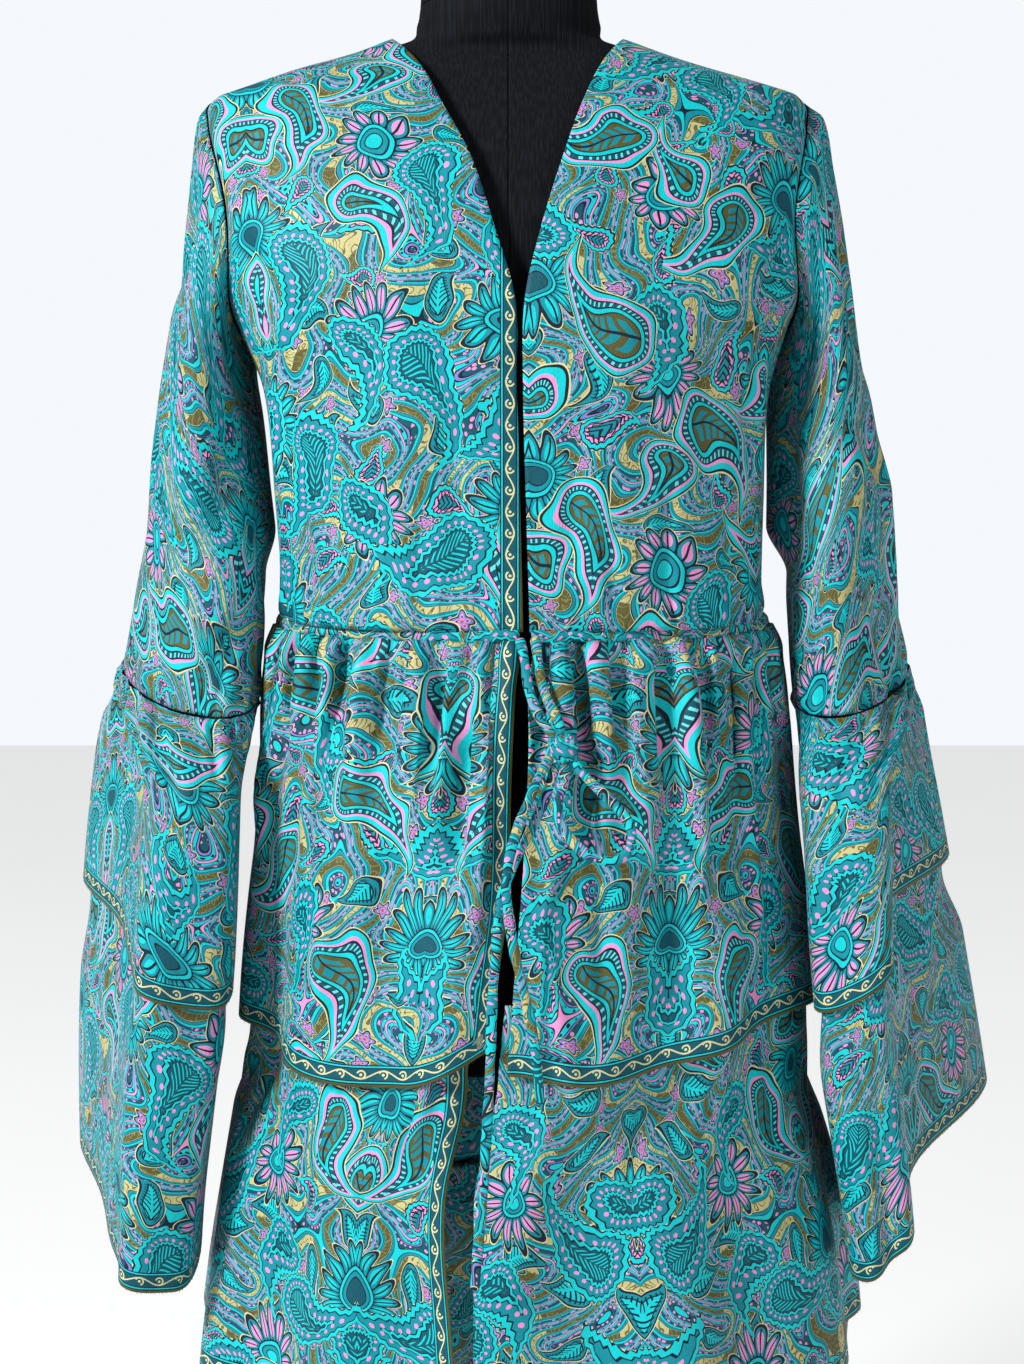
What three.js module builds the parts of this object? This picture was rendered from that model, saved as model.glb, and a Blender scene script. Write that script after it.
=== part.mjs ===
// Tiered open-front robe with bell sleeves, worn by a limbless dress form on a round stand.
// Millimetres, +Z up. The front faces -Y and the origin is the middle of the stand's underside.
import * as THREE from "three";

// Cloth and seams
const CLOTH = 1.5;
const SEAM = 0.3;
const RIM_GAP = 0.8;

// Heights of the robe's seams and hems
const NECK_POINT_Z = 1427;
const SHOULDER_TIP_Z = 1390;
const UNDERARM_Z = 1240;
const WAIST_Z = 1050;
const CASING_HEIGHT = 8;
const CASING_THICKNESS = 3;
const ELBOW_Z = 992;
const ELBOW_RISE = 30;

// Shoulder line, armhole and how square the body's level sections are
const NECK_POINT_X = 76;
const SHOULDER_TIP_X = 190;
const SHOULDER_Y = 8;
const BACK_NECK_DIP = 14;
const BACK_COLUMN_X = 58;
const BACK_COLUMN_SHARE = 0.35;
const ARMHOLE_REACH = 0.563;
const ARMHOLE_STEP = 1.7;
const ARMHOLE_BLEND = 110;
const BODICE_SQUARENESS = 2.5;
const FORM_SQUARENESS = 2.2;
const SKIRT_SQUARENESS = 2.1;

// Dress form and stand
const FORM_BOTTOM_Z = 760;
const FORM_NECK_SEAM_Z = 1448;
const FORM_DROP = 1.5;
const POLE_RADIUS = 12.5;
const BASE_RADIUS = 185;
const BASE_HEIGHT = 16;
const BASE_EDGE = 5;
const BASE_BEVEL = 8;
const HUB_RADIUS = 26;
const HUB_HEIGHT = 30;

const COLOURS = {
  cloth: { color: 0x1f8f98, roughness: 0.72, metalness: 0 },
  trim: { color: 0x1a5f66, roughness: 0.75, metalness: 0 },
  form: { color: 0x101418, roughness: 0.9, metalness: 0 },
  metal: { color: 0x2a2c2e, roughness: 0.45, metalness: 0.8 },
};

// A table is a list of rows with named columns, in order of its first column.
function table(names, rows) {
  return rows.map((row) => Object.fromEntries(names.map((name, i) => [name, row[i]])));
}

const clamp = THREE.MathUtils.clamp;
const mix = THREE.MathUtils.lerp;
const smooth = THREE.MathUtils.smoothstep;

// A soft rise of height 1 at a centre, gone by about twice its width.
function rise(value, centre, width) {
  const t = (value - centre) / width;
  return Math.exp(-t * t);
}

// One column of a table at any value of its key column, on a smooth curve through the rows.
function sample(rows, key, value, name) {
  const last = rows.length - 1;
  const way = Math.sign(rows[last][key] - rows[0][key]);
  let i = 0;
  while (i < last - 1 && (value - rows[i + 1][key]) * way > 0) i += 1;
  const slope = (j) => {
    const before = rows[Math.max(j - 1, 0)];
    const after = rows[Math.min(j + 1, last)];
    return (after[name] - before[name]) / (after[key] - before[key]);
  };
  const span = rows[i + 1][key] - rows[i][key];
  const t = clamp((value - rows[i][key]) / span, 0, 1);
  const s = 1 - t;
  return rows[i][name] * s * s * (1 + 2 * t) + rows[i + 1][name] * t * t * (3 - 2 * t)
    + slope(i) * span * s * s * t - slope(i + 1) * span * t * t * s;
}

// Level sections of the worn bodice: half width, depth before and behind the shoulder line.
const BODICE = table(["z", "middle", "half", "front", "back"], [
  [1427, -1, 76, 44, 44],
  [1417.75, -1, 104.5, 52, 50],
  [1408.5, -1, 133, 60, 56],
  [1399.25, -1, 161.5, 68, 62],
  [1390, -1, 190, 76, 68],
  [1372, -1, 198, 90, 80],
  [1345, 0, 201, 106, 92],
  [1310, 1, 198, 121, 101],
  [1262, 3, 189, 134, 106],
  [1240, 3, 180, 135, 105],
  [1200, 5, 167, 134, 103],
  [1130, 7, 163, 131, 99],
  [1050, 9, 160, 128, 98],
]);

// Level sections of the dress form, inside the bodice all round.
const FORM = table(["z", "middle", "half", "front", "back"], [
  [1448, 0, 58, 54, 50],
  [1438, 0, 60, 54, 50],
  [1427 - FORM_DROP, -1, 66, 50, 43],
  [1417.75 - FORM_DROP, -1, 104.5, 44, 41],
  [1408.5 - FORM_DROP, -1, 133, 52, 49],
  [1399.25 - FORM_DROP, -1, 161, 58, 54],
  [1385, -1, 178, 68, 60],
  [1368, 0, 181, 81, 68],
  [1340, 0, 176, 97, 80],
  [1305, 0, 165, 112, 90],
  [1262, 0, 154, 121, 94],
  [1200, 0, 140, 112, 88],
  [1130, 0, 127, 97, 78],
  [1050, 0, 120, 88, 72],
  [950, 0, 146, 104, 92],
  [860, 0, 164, 111, 106],
  [790, 0, 160, 107, 102],
  [760, 0, 154, 102, 97],
]);

// Neck block above its seam: height and size as a share of the seam's outline.
const NECK_BLOCK = table(["up", "share"], [
  [0, 1],
  [30, 0.965],
  [62, 1],
  [74, 0.9],
  [80, 0.62],
]);
const NECK_LEAN = 0.06;

// The neckline and front edge, by height: how far each front edge is from the middle.
const FRONT_EDGE = table(["z", "left", "right"], [
  [1427, -77, 75],
  [1403, -56, 58],
  [1372, -39.5, 44],
  [1340, -23, 33],
  [1296, -8.5, 19.5],
  [1252, 4, 9.5],
  [1200, 5, 8.6],
  [1130, 7, 10.5],
  [1050, 9, 13],
]);

// Rows of a front or back panel: height at its inner edge and at its armhole or side edge.
const PANEL_ROWS = table(["inner", "outer"], [
  [NECK_POINT_Z, SHOULDER_TIP_Z],
  [1424.5, 1388],
  [1420, 1384],
  [1411, 1376],
  [1396, 1360],
  [1370, 1336],
  [1338, 1308],
  [1298, 1274],
  [1252, UNDERARM_Z],
  [1200, 1196],
  [1150, 1152],
  [1098, 1098],
  [WAIST_Z + CASING_HEIGHT / 2 + SEAM, WAIST_Z + CASING_HEIGHT / 2 + SEAM],
]);

// Upper sleeves, down the outer side: the outer and inner ends of each ring, its depth before
// and behind its middle, and how far its outer end leans back. x is measured away from the body.
const SLEEVE_COLUMNS = ["down", "outX", "outZ", "inX", "inZ", "front", "back", "lean"];
const SLEEVES = {
  left: table(SLEEVE_COLUMNS, [
    [0, 193, 1390, 179, 1240, 62, 55, 0],
    [14, 199, 1380, 180, 1232, 63, 57, 0],
    [45, 205, 1350, 180, 1222, 64, 60, 2],
    [85, 212, 1310, 179, 1208, 66, 62, 4],
    [155, 226, 1241, 174, 1180, 68, 65, 8],
    [235, 241, 1162, 169, 1136, 69, 68, 14],
    [300, 249, 1098, 164, 1090, 70, 70, 22],
    [345, 257, 1053, 163, 1048, 70, 73, 32],
    [397, 270, ELBOW_Z, 168, ELBOW_Z, 70, 74, 42],
  ]),
  right: table(SLEEVE_COLUMNS, [
    [0, 190, 1390, 186, 1240, 62, 55, 0],
    [14, 201, 1381, 187, 1232, 63, 57, 0],
    [45, 209, 1351, 188, 1222, 64, 60, 2],
    [85, 219, 1310, 189, 1208, 66, 62, 4],
    [155, 232, 1241, 189, 1180, 67, 65, 8],
    [235, 249, 1162, 189, 1136, 67, 68, 14],
    [300, 257, 1098, 188, 1090, 67, 70, 22],
    [345, 264, 1053, 187, 1048, 67, 73, 32],
    [397, 278, ELBOW_Z, 190, ELBOW_Z, 68, 74, 40],
  ]),
};

// Fine gathers of the sleeve head just below the shoulder, and where the elbow seam's rise begins.
const HEAD_GATHER = { depth: 1.6, down: 9, width: 14, count: 14 };
const ELBOW_RISE_FROM = 200;

// Bell flounces: a front lobe and a back lobe by their middles and half sizes, and the depth of
// the cleft between them on the outer side. x is measured away from the body.
const BELL_COLUMNS = ["z", "frontX", "frontY", "frontW", "frontD",
  "backX", "backY", "backW", "backD", "cleft"];
const BELLS = {
  left: table(BELL_COLUMNS, [
    [1000, 204, -46, 40, 34, 248, 42, 40, 44, 6],
    [975, 202, -66, 41, 36, 260, 52, 46, 50, 20],
    [915, 205, -79, 43, 37, 269, 60, 51, 56, 26],
    [860, 209, -84, 45, 39, 275, 64, 53, 58, 26],
    [812, 213, -86, 45, 40, 278, 66, 54, 60, 25],
    [770, 218, -87, 43, 40, 281, 68, 55, 62, 23],
    [720, 224, -88, 41, 40, 284, 70, 55, 64, 21],
    [670, 229, -88, 38, 40, 286, 70, 54, 66, 19],
    [625, 233, -88, 36, 39, 286, 70, 54, 67, 18],
  ]),
  right: table(BELL_COLUMNS, [
    [1000, 214, -46, 40, 34, 260, 42, 38, 44, 8],
    [975, 213, -68, 40, 36, 270, 52, 39, 50, 22],
    [915, 215, -82, 38, 37, 284, 60, 42, 56, 26],
    [860, 216, -88, 36, 39, 296, 64, 44, 60, 26],
    [812, 219, -91, 35, 40, 306, 66, 46, 62, 26],
    [770, 222, -90, 35, 40, 313, 68, 48, 64, 25],
    [720, 229, -90, 34, 40, 321, 70, 50, 66, 24],
    [670, 236, -90, 32, 40, 328, 70, 52, 67, 23],
    [630, 240, -90, 30, 39, 332, 70, 53, 68, 22],
  ]),
};
// Bell hems by the height of their front, and how much higher they hang at the outer back.
const BELL_HEMS = {
  left: { upper: 812, upperRise: 40, lower: 625, lowerRise: 26 },
  right: { upper: 812, upperRise: 64, lower: 634, lowerRise: 60 },
};
const BELL_OVERLAP = 30;
const BELL_GATHERS = { count: 14, depth: 2.2 };
const BELL_FOLDS = { count: 5, depth: 4.2 };
const BELL_PUFF = { out: 6, share: 0.13, width: 0.09 };
const BELL_TUCK = 3;
const BELL_INSET = 2;
const CLEFT_TURN = 0.18;
const CLEFT_WIDTH = 0.42;

// Waves are calmer on the sleeve's inner side, beside the skirt.
const INNER_CALM = 0.3;

// Level sections of the skirt tiers, and where their two front edges hang.
const SKIRT = table(["z", "left", "right", "front", "back", "edgeL", "edgeR"], [
  [1045.2, -156, 174, 122, 104, 7, 13],
  [1030, -161, 180, 129, 110, 6, 13],
  [994, -166, 186, 140, 118, 3, 12],
  [940, -170, 191, 153, 128, -4, 9],
  [880, -174, 197, 167, 138, -12, 4],
  [830, -177, 202, 176, 146, -18, 0],
  [789, -179, 206, 183, 152, -22, -3],
]);
const LOWER_SKIRT = table(["z", "left", "right", "front", "back", "edgeL", "edgeR"], [
  [830, -171, 196, 168, 139, -24, -10],
  [789, -173, 198, 174, 144, -29, -15],
  [740, -186, 206, 180, 153, -33, -18],
  [690, -196, 219, 187, 162, -35, -18],
  [640, -204, 230, 193, 170, -31, -18],
  [600, -210, 236, 198, 176, -28, -18],
  [562, -215, 240, 202, 180, -27, -18],
]);
const LAST_SKIRT = table(["z", "left", "right", "front", "back", "edgeL", "edgeR"], [
  [600, -202, 228, 190, 168, -34, -22],
  [562, -205, 231, 192, 170, -33, -22],
  [530, -215, 236, 196, 177, -32, -21],
  [450, -226, 244, 206, 190, -30, -20],
  [390, -232, 250, 213, 198, -28, -20],
  [340, -236, 254, 218, 204, -27, -20],
]);

// How far the peplum's hem hangs below its table at points round the tier, left front edge last.
const PEPLUM_HEM = table(["u", "drop"], [
  [0, 0],
  [0.06, 2],
  [0.16, -14],
  [0.3, -12],
  [0.7, -6],
  [0.84, 2],
  [0.9, 13],
  [0.96, 11],
  [1, -16],
]);

// Gathers are fine at a tier's seam and fade downwards; folds grow from it down to the hem.
const TIERS = {
  peplum: {
    rows: SKIRT, hem: PEPLUM_HEM, gathers: 40, gatherDepth: 3, folds: 13, foldDepth: 6.5, columns: 120,
  },
  lower: { rows: LOWER_SKIRT, gathers: 24, gatherDepth: 1, folds: 12, foldDepth: 7.5, columns: 80 },
  last: { rows: LAST_SKIRT, gathers: 24, gatherDepth: 1, folds: 12, foldDepth: 8.5, columns: 66 },
};

// How far a hanging tier's seam lies inside the tier above, and how much more at that tier's hem.
const TIER_GAP = 2.4;
const TIER_TUCK = 4;

// Routes of the drawstring, chosen by hand, and the knot that its strands meet in.
const STRING_RADIUS = 2.5;
const STRING_STEP = 13;
const KNOT = new THREE.Vector3(33, -157, 985.5);
const KNOT_SIZE = new THREE.Vector3(8, 5, 9);
const STRINGS = {
  drawstring_strand_left: [
    [6.5, -126, 1049], [9.5, -136, 1037], [11, -144, 1025.5], [14.5, -150, 1013], [20.5, -154.5, 1001.5],
    [27.2, -157, 992.5],
  ],
  drawstring_strand_right: [
    [16, -126, 1050], [17.8, -135, 1037], [20, -143, 1023], [24, -149, 1012.5], [29.3, -154, 1002.5],
    [32.2, -157, 994.6],
  ],
  drawstring_loop: [
    [34.2, -158.3, 976.6], [32.9, -163, 965], [29.5, -168, 955.5], [29.5, -171.5, 946.5],
    [33.5, -174.5, 938.5], [40.5, -177, 930.5], [49, -179, 924.5], [58.5, -180, 922], [67, -180, 924],
    [72, -178.5, 931], [72.5, -176, 939], [68.5, -173, 948], [61, -169, 956], [52.5, -165, 963.5],
    [44.5, -161, 971], [38.8, -158, 978],
  ],
  drawstring_tail_right: [
    [28.7, -158, 977.6], [24.6, -164, 965.5], [19.2, -169, 952], [11.5, -175, 936.5], [3, -180, 920.5],
    [-3.3, -185, 904], [-6.2, -190, 886], [-8, -194.5, 865], [-9.7, -199, 840.5], [-10.5, -203, 815],
    [-11.5, -207, 789], [-13.2, -210, 760], [-15, -212, 730], [-17.5, -213.5, 702], [-20, -215, 672],
  ],
  drawstring_tail_left: [
    [25, -159.6, 981.6], [18, -167, 970], [11.5, -175, 956.5], [5, -182, 941], [0.5, -187.5, 926],
    [-1.5, -192, 910], [0.3, -195.5, 891.5], [3.5, -198.5, 872], [8, -201.5, 853], [12.5, -204, 833],
    [16, -206.5, 811], [18.5, -208.5, 783],
  ],
};

const group = new THREE.Group();

// A closed solid from its corner points and triangles, turned so that its faces point out.
function addSolid(name, look, points, faces) {
  let volume = 0;
  for (const [a, b, c] of faces) volume += points[a].dot(points[b].clone().cross(points[c]));
  const turned = volume < 0 ? faces.map(([a, b, c]) => [a, c, b]) : faces;
  const geometry = new THREE.BufferGeometry();
  geometry.setAttribute("position",
    new THREE.Float32BufferAttribute(points.flatMap((p) => [p.x, p.y, p.z]), 3));
  geometry.setIndex(turned.flat());
  geometry.computeVertexNormals();
  addMesh(name, look, geometry);
}

function addMesh(name, look, geometry) {
  const mesh = new THREE.Mesh(geometry, new THREE.MeshStandardMaterial(COLOURS[look]));
  mesh.name = name;
  group.add(mesh);
  return mesh;
}

// The two triangles of a four-cornered face.
function quad(a, b, c, d) {
  return [[a, b, c], [a, c, d]];
}

// A cloth wall through place(u, v), with u across or round the piece and v down it, both 0 to 1.
// normalAt may give the cloth's facing where it is known; otherwise it comes from the surface.
function addCloth(name, look, { columns, rows, closed, place, normalAt, thickness = CLOTH }) {
  const across = closed ? columns : columns + 1;
  const vRows = Array.isArray(rows) ? rows : Array.from({ length: rows + 1 }, (_, j) => j / rows);
  const step = 1e-3;
  const facing = (u, v) => {
    const alongU = place(u + step, v).sub(place(u - step, v));
    const v0 = Math.max(v - step, 0);
    const v1 = Math.min(v + step, 1);
    return alongU.cross(place(u, v1).sub(place(u, v0))).normalize();
  };
  const points = [];
  for (const side of [0.5, -0.5]) {
    for (const v of vRows) {
      for (let i = 0; i < across; i += 1) {
        const u = i / columns;
        const point = place(u, v);
        const normal = normalAt ? normalAt(point) : facing(u, v);
        points.push(point.addScaledVector(normal, side * thickness));
      }
    }
  }
  const layer = across * vRows.length;
  const at = (i, j, side) => side * layer + j * across + (i % across);
  const faces = [];
  const bottom = vRows.length - 1;
  for (let i = 0; i < columns; i += 1) {
    for (let j = 0; j < bottom; j += 1) {
      faces.push(...quad(at(i, j, 0), at(i + 1, j, 0), at(i + 1, j + 1, 0), at(i, j + 1, 0)));
      faces.push(...quad(at(i, j, 1), at(i, j + 1, 1), at(i + 1, j + 1, 1), at(i + 1, j, 1)));
    }
    faces.push(...quad(at(i, 0, 0), at(i, 0, 1), at(i + 1, 0, 1), at(i + 1, 0, 0)));
    faces.push(...quad(at(i, bottom, 0), at(i + 1, bottom, 0), at(i + 1, bottom, 1), at(i, bottom, 1)));
  }
  if (!closed) {
    for (let j = 0; j < bottom; j += 1) {
      faces.push(...quad(at(0, j, 0), at(0, j + 1, 0), at(0, j + 1, 1), at(0, j, 1)));
      faces.push(...quad(at(columns, j, 0), at(columns, j, 1), at(columns, j + 1, 1), at(columns, j + 1, 0)));
    }
  }
  addSolid(name, look, points, faces);
}

// Body surface: the bodice's depth at a height and width, and its outward facing.
function bodicePoint(x, z, behind) {
  const middle = sample(BODICE, "z", z, "middle");
  const half = sample(BODICE, "z", z, "half");
  const depth = sample(BODICE, "z", z, behind ? "back" : "front");
  const share = clamp(Math.abs(x - middle) / half, 0, 1);
  const reach = depth * (1 - share ** BODICE_SQUARENESS) ** (1 / BODICE_SQUARENESS);
  return new THREE.Vector3(x, SHOULDER_Y + (behind ? reach : -reach), z);
}

function bodiceFacing(point) {
  const level = (x, y, z) => {
    const depth = sample(BODICE, "z", z, y > SHOULDER_Y ? "back" : "front");
    const wide = Math.abs(x - sample(BODICE, "z", z, "middle")) / sample(BODICE, "z", z, "half");
    const deep = Math.abs(y - SHOULDER_Y) / depth;
    return wide ** BODICE_SQUARENESS + deep ** BODICE_SQUARENESS;
  };
  const h = 0.05;
  const { x, y, z } = point;
  const up = clamp(z, 0, NECK_POINT_Z - h);
  return new THREE.Vector3(
    level(x + h, y, up) - level(x - h, y, up),
    Math.abs(y - SHOULDER_Y) < 1 ? 0 : level(x, y + h, up) - level(x, y - h, up),
    level(x, y, up + h) - level(x, y, up - h),
  ).normalize();
}

// Armhole seam at a turn phi: 0 at the shoulder tip, half a turn at the underarm, front between.
function armholePoint(way, phi) {
  const centreZ = (SHOULDER_TIP_Z + UNDERARM_Z) / 2;
  const halfHeight = (SHOULDER_TIP_Z - UNDERARM_Z) / 2;
  const z = centreZ + halfHeight * Math.cos(phi);
  const reach = ARMHOLE_REACH * Math.abs(Math.sin(phi));
  const behind = Math.sin(phi) < 0;
  const half = sample(BODICE, "z", z, "half");
  const wide = half * (1 - reach ** BODICE_SQUARENESS) ** (1 / BODICE_SQUARENESS);
  const depth = reach * sample(BODICE, "z", z, behind ? "back" : "front");
  return new THREE.Vector3(
    sample(BODICE, "z", z, "middle") + way * wide,
    SHOULDER_Y + (behind ? depth : -depth),
    z,
  );
}

// Where a panel's armhole or side edge is, at a height.
function panelOuterX(way, z) {
  if (z <= UNDERARM_Z) return sample(BODICE, "z", z, "middle") + way * sample(BODICE, "z", z, "half");
  const turn = clamp((2 * z - SHOULDER_TIP_Z - UNDERARM_Z) / (SHOULDER_TIP_Z - UNDERARM_Z), -1, 1);
  return armholePoint(way, Math.acos(turn)).x;
}

// Front panel: v runs down its rows, u from the front edge to the armhole and side seam.
function frontPanel(side, way) {
  const rows = PANEL_ROWS.map((_, j) => j / (PANEL_ROWS.length - 1));
  const place = (u, v) => {
    const at = v * (PANEL_ROWS.length - 1);
    const j = Math.min(Math.floor(at), PANEL_ROWS.length - 2);
    const inner = mix(PANEL_ROWS[j].inner, PANEL_ROWS[j + 1].inner, at - j);
    const outer = mix(PANEL_ROWS[j].outer, PANEL_ROWS[j + 1].outer, at - j);
    const edge = sample(FRONT_EDGE, "z", inner, side);
    const point = bodicePoint(mix(edge, panelOuterX(way, outer), u), mix(inner, outer, u), false);
    if (v === 0) point.y = SHOULDER_Y;
    if (v === 0 || (u === 1 && outer <= UNDERARM_Z)) point.y -= SEAM / 2;
    return point;
  };
  addCloth(`bodice_front_${side}`, "cloth",
    { columns: 7, rows, closed: false, place, normalAt: bodiceFacing });
}

// Back panel: u runs from the left armhole and side seam to the right one.
function backPanel() {
  const rows = PANEL_ROWS.map((_, j) => j / (PANEL_ROWS.length - 1));
  const place = (u, v) => {
    const at = v * (PANEL_ROWS.length - 1);
    const j = Math.min(Math.floor(at), PANEL_ROWS.length - 2);
    const outer = mix(PANEL_ROWS[j].outer, PANEL_ROWS[j + 1].outer, at - j);
    const inner = mix(PANEL_ROWS[j].inner, PANEL_ROWS[j + 1].inner, at - j);
    const way = u < 0.5 ? -1 : 1;
    const across = Math.abs(2 * u - 1);
    const neckShare = mix(NECK_POINT_X / SHOULDER_TIP_X, BACK_COLUMN_SHARE, v);
    const onShoulder = across >= neckShare;
    const share = onShoulder ? (across - neckShare) / (1 - neckShare) : 0;
    const middle = sample(BODICE, "z", inner, "middle");
    const neckX = middle + way * mix(NECK_POINT_X, BACK_COLUMN_X, v);
    const neckDip = BACK_NECK_DIP * (1 - (across / neckShare) ** 2) * (1 - smooth(v, 0, 0.45));
    const x = onShoulder
      ? mix(neckX, panelOuterX(way, outer), share)
      : mix(middle, neckX, Math.sin((across / neckShare) * Math.PI / 2));
    const z = onShoulder ? mix(inner, outer, share) : inner - neckDip;
    const point = bodicePoint(x, z, true);
    if (v === 0 && onShoulder) point.y = SHOULDER_Y;
    if ((v === 0 && onShoulder) || (across === 1 && outer <= UNDERARM_Z)) point.y += SEAM / 2;
    return point;
  };
  addCloth("bodice_back", "cloth", { columns: 20, rows, closed: false, place, normalAt: bodiceFacing });
}

// The level direction square to a level curve place(t), on the side of a rough guess.
function squareTo(place, t, guess) {
  const h = 1e-3;
  const along = place(t + h).sub(place(t - h)).setZ(0).normalize();
  const square = new THREE.Vector3(-along.y, along.x, 0);
  return square.dot(guess) < 0 ? square.negate() : square;
}

// How far up a ring is drawn at a turn phi, as a share: 1 at the outer back, 0 at the inner front.
function backRise(phi) {
  return (1 + Math.cos(phi + Math.PI / 4)) / 2;
}

// Upper sleeve: phi is 0 on the outer side, a quarter turn at the front, half a turn inside.
function sleevePoint(side, way, phi, down) {
  const rows = SLEEVES[side];
  const ring = (at) => {
    const read = (name) => sample(rows, "down", at, name);
    const outward = (read("outX") + read("inX")) / 2 + (read("outX") - read("inX")) / 2 * Math.cos(phi);
    const height = (read("outZ") + read("inZ")) / 2 + (read("outZ") - read("inZ")) / 2 * Math.cos(phi);
    const depth = Math.sin(phi) > 0 ? read("front") : read("back");
    const y = SHOULDER_Y + read("lean") * Math.cos(phi) - depth * Math.sin(phi);
    return new THREE.Vector3(way * outward, y, height);
  };
  const seamTurn = armholePoint(way, phi);
  seamTurn.x += way * ARMHOLE_STEP;
  const blend = 1 - smooth(down, 0, ARMHOLE_BLEND);
  const point = ring(down);
  if (blend > 0) point.addScaledVector(seamTurn.sub(ring(0)), blend);
  const gather = HEAD_GATHER.depth * rise(down, HEAD_GATHER.down, HEAD_GATHER.width);
  const onHead = smooth(Math.cos(phi), 0.1, 0.8) * clamp(down / HEAD_GATHER.down, 0, 1);
  point.z += gather * onHead * Math.cos(phi * HEAD_GATHER.count);
  point.z += ELBOW_RISE * backRise(phi) * smooth(down, ELBOW_RISE_FROM, rows.at(-1).down);
  return point;
}

function upperSleeve(side, way) {
  const length = SLEEVES[side].at(-1).down;
  const downs = [0, 7, 18, 38, 68, 108, 160, 230, 300, 350, length - RIM_GAP / 2];
  addCloth(`sleeve_upper_${side}`, "cloth", {
    columns: 20,
    rows: downs.map((down) => down / length),
    closed: true,
    place: (u, v) => sleevePoint(side, way, u * 2 * Math.PI, v * length),
  });
}

// Bell flounce ring at a height: two lobes joined round, with a cleft on the outer side.
function bellRing(side, way, phi, z) {
  const value = (name) => sample(BELLS[side], "z", z, name);
  const front = { x: value("frontX") + value("frontW") * Math.cos(phi),
    y: value("frontY") - value("frontD") * Math.sin(phi) };
  const back = { x: value("backX") + value("backW") * Math.cos(phi),
    y: value("backY") - value("backD") * Math.sin(phi) };
  const share = smooth(0.5 - 0.6 * Math.sin(phi), 0, 1);
  const fromCleft = (phi - CLEFT_TURN + 3 * Math.PI) % (2 * Math.PI) - Math.PI;
  const cleft = value("cleft") * rise(fromCleft, 0, CLEFT_WIDTH);
  return new THREE.Vector3(way * (mix(front.x, back.x, share) - cleft), mix(front.y, back.y, share), z);
}

// Waves of a flounce, out from its own middle: fine gathers at the seam, soft folds at the hem.
function bellWave(phi, share, phase) {
  const uneven = phi + 0.18 * Math.sin(2 * phi + phase);
  const calm = mix(INNER_CALM, 1, smooth(Math.cos(phi), -1, 0.1));
  const gathers = BELL_GATHERS.depth * (1 - smooth(share, 0.05, 0.55))
    * Math.cos(BELL_GATHERS.count * uneven);
  const folds = BELL_FOLDS.depth * smooth(share, 0.1, 1)
    * Math.cos(BELL_FOLDS.count * uneven + phase);
  return calm * (gathers + folds);
}

// Height of a seam or hem of the sleeve at a turn phi.
function sleeveLevel(side, name, phi) {
  if (name === "elbow") return ELBOW_Z + ELBOW_RISE * backRise(phi);
  const hems = BELL_HEMS[side];
  return hems[name] + hems[`${name}Rise`] * backRise(phi);
}

function bellUpper(side, way, phi, share) {
  const elbow = sleeveLevel(side, "elbow", phi);
  const z = mix(elbow, sleeveLevel(side, "upper", phi), share);
  const point = bellRing(side, way, phi, z);
  const seam = sleevePoint(side, way, phi, SLEEVES[side].at(-1).down);
  const blend = 1 - smooth(share, 0, 0.3);
  point.addScaledVector(seam.sub(bellRing(side, way, phi, elbow)).setZ(0), blend);
  const out = new THREE.Vector3(way * Math.cos(phi), -Math.sin(phi), 0);
  point.addScaledVector(out, bellWave(phi, share, way) * smooth(share, -0.1, 0.08));
  const puff = BELL_PUFF.out * mix(INNER_CALM, 1, smooth(Math.cos(phi), -1, 0.1));
  return point.addScaledVector(out, puff * rise(share, BELL_PUFF.share, BELL_PUFF.width));
}

function bellLower(side, way, phi, share) {
  const upper = sleeveLevel(side, "upper", phi);
  const lower = sleeveLevel(side, "lower", phi);
  const top = upper + BELL_OVERLAP;
  const z = mix(top, lower, share);
  const overlap = BELL_OVERLAP / (top - lower);
  const elbow = sleeveLevel(side, "elbow", phi);
  const aboveShare = clamp((elbow - z) / (elbow - upper), 0, 1);
  const out = new THREE.Vector3(way * Math.cos(phi), -Math.sin(phi), 0);
  const above = (t) => bellUpper(side, way, t, aboveShare);
  const inward = -CLOTH - RIM_GAP - BELL_TUCK * smooth(share, 0, overlap);
  const held = above(phi).addScaledVector(squareTo(above, phi, out), inward).setZ(z);
  const free = bellRing(side, way, phi, z);
  free.addScaledVector(out, bellWave(phi, share, 2 * way + 1) - BELL_INSET);
  return held.lerp(free, smooth(share, overlap, Math.min(overlap * 3.2, 0.75)));
}

function bell(side, way) {
  const upperLength = ELBOW_Z - BELL_HEMS[side].upper;
  const seamStart = RIM_GAP / upperLength;
  const sewnAt = 1 - BELL_OVERLAP / upperLength;
  addCloth(`sleeve_flounce_upper_${side}`, "cloth", {
    columns: 44,
    rows: [seamStart, 0.06, 0.14, 0.32, sewnAt, 1],
    closed: true,
    place: (u, v) => bellUpper(side, way, u * 2 * Math.PI, v),
  });
  addCloth(`sleeve_flounce_lower_${side}`, "cloth", {
    columns: 44,
    rows: [0, 0.14, 0.32, 0.65, 1],
    closed: true,
    place: (u, v) => bellLower(side, way, u * 2 * Math.PI, v),
  });
}

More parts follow.
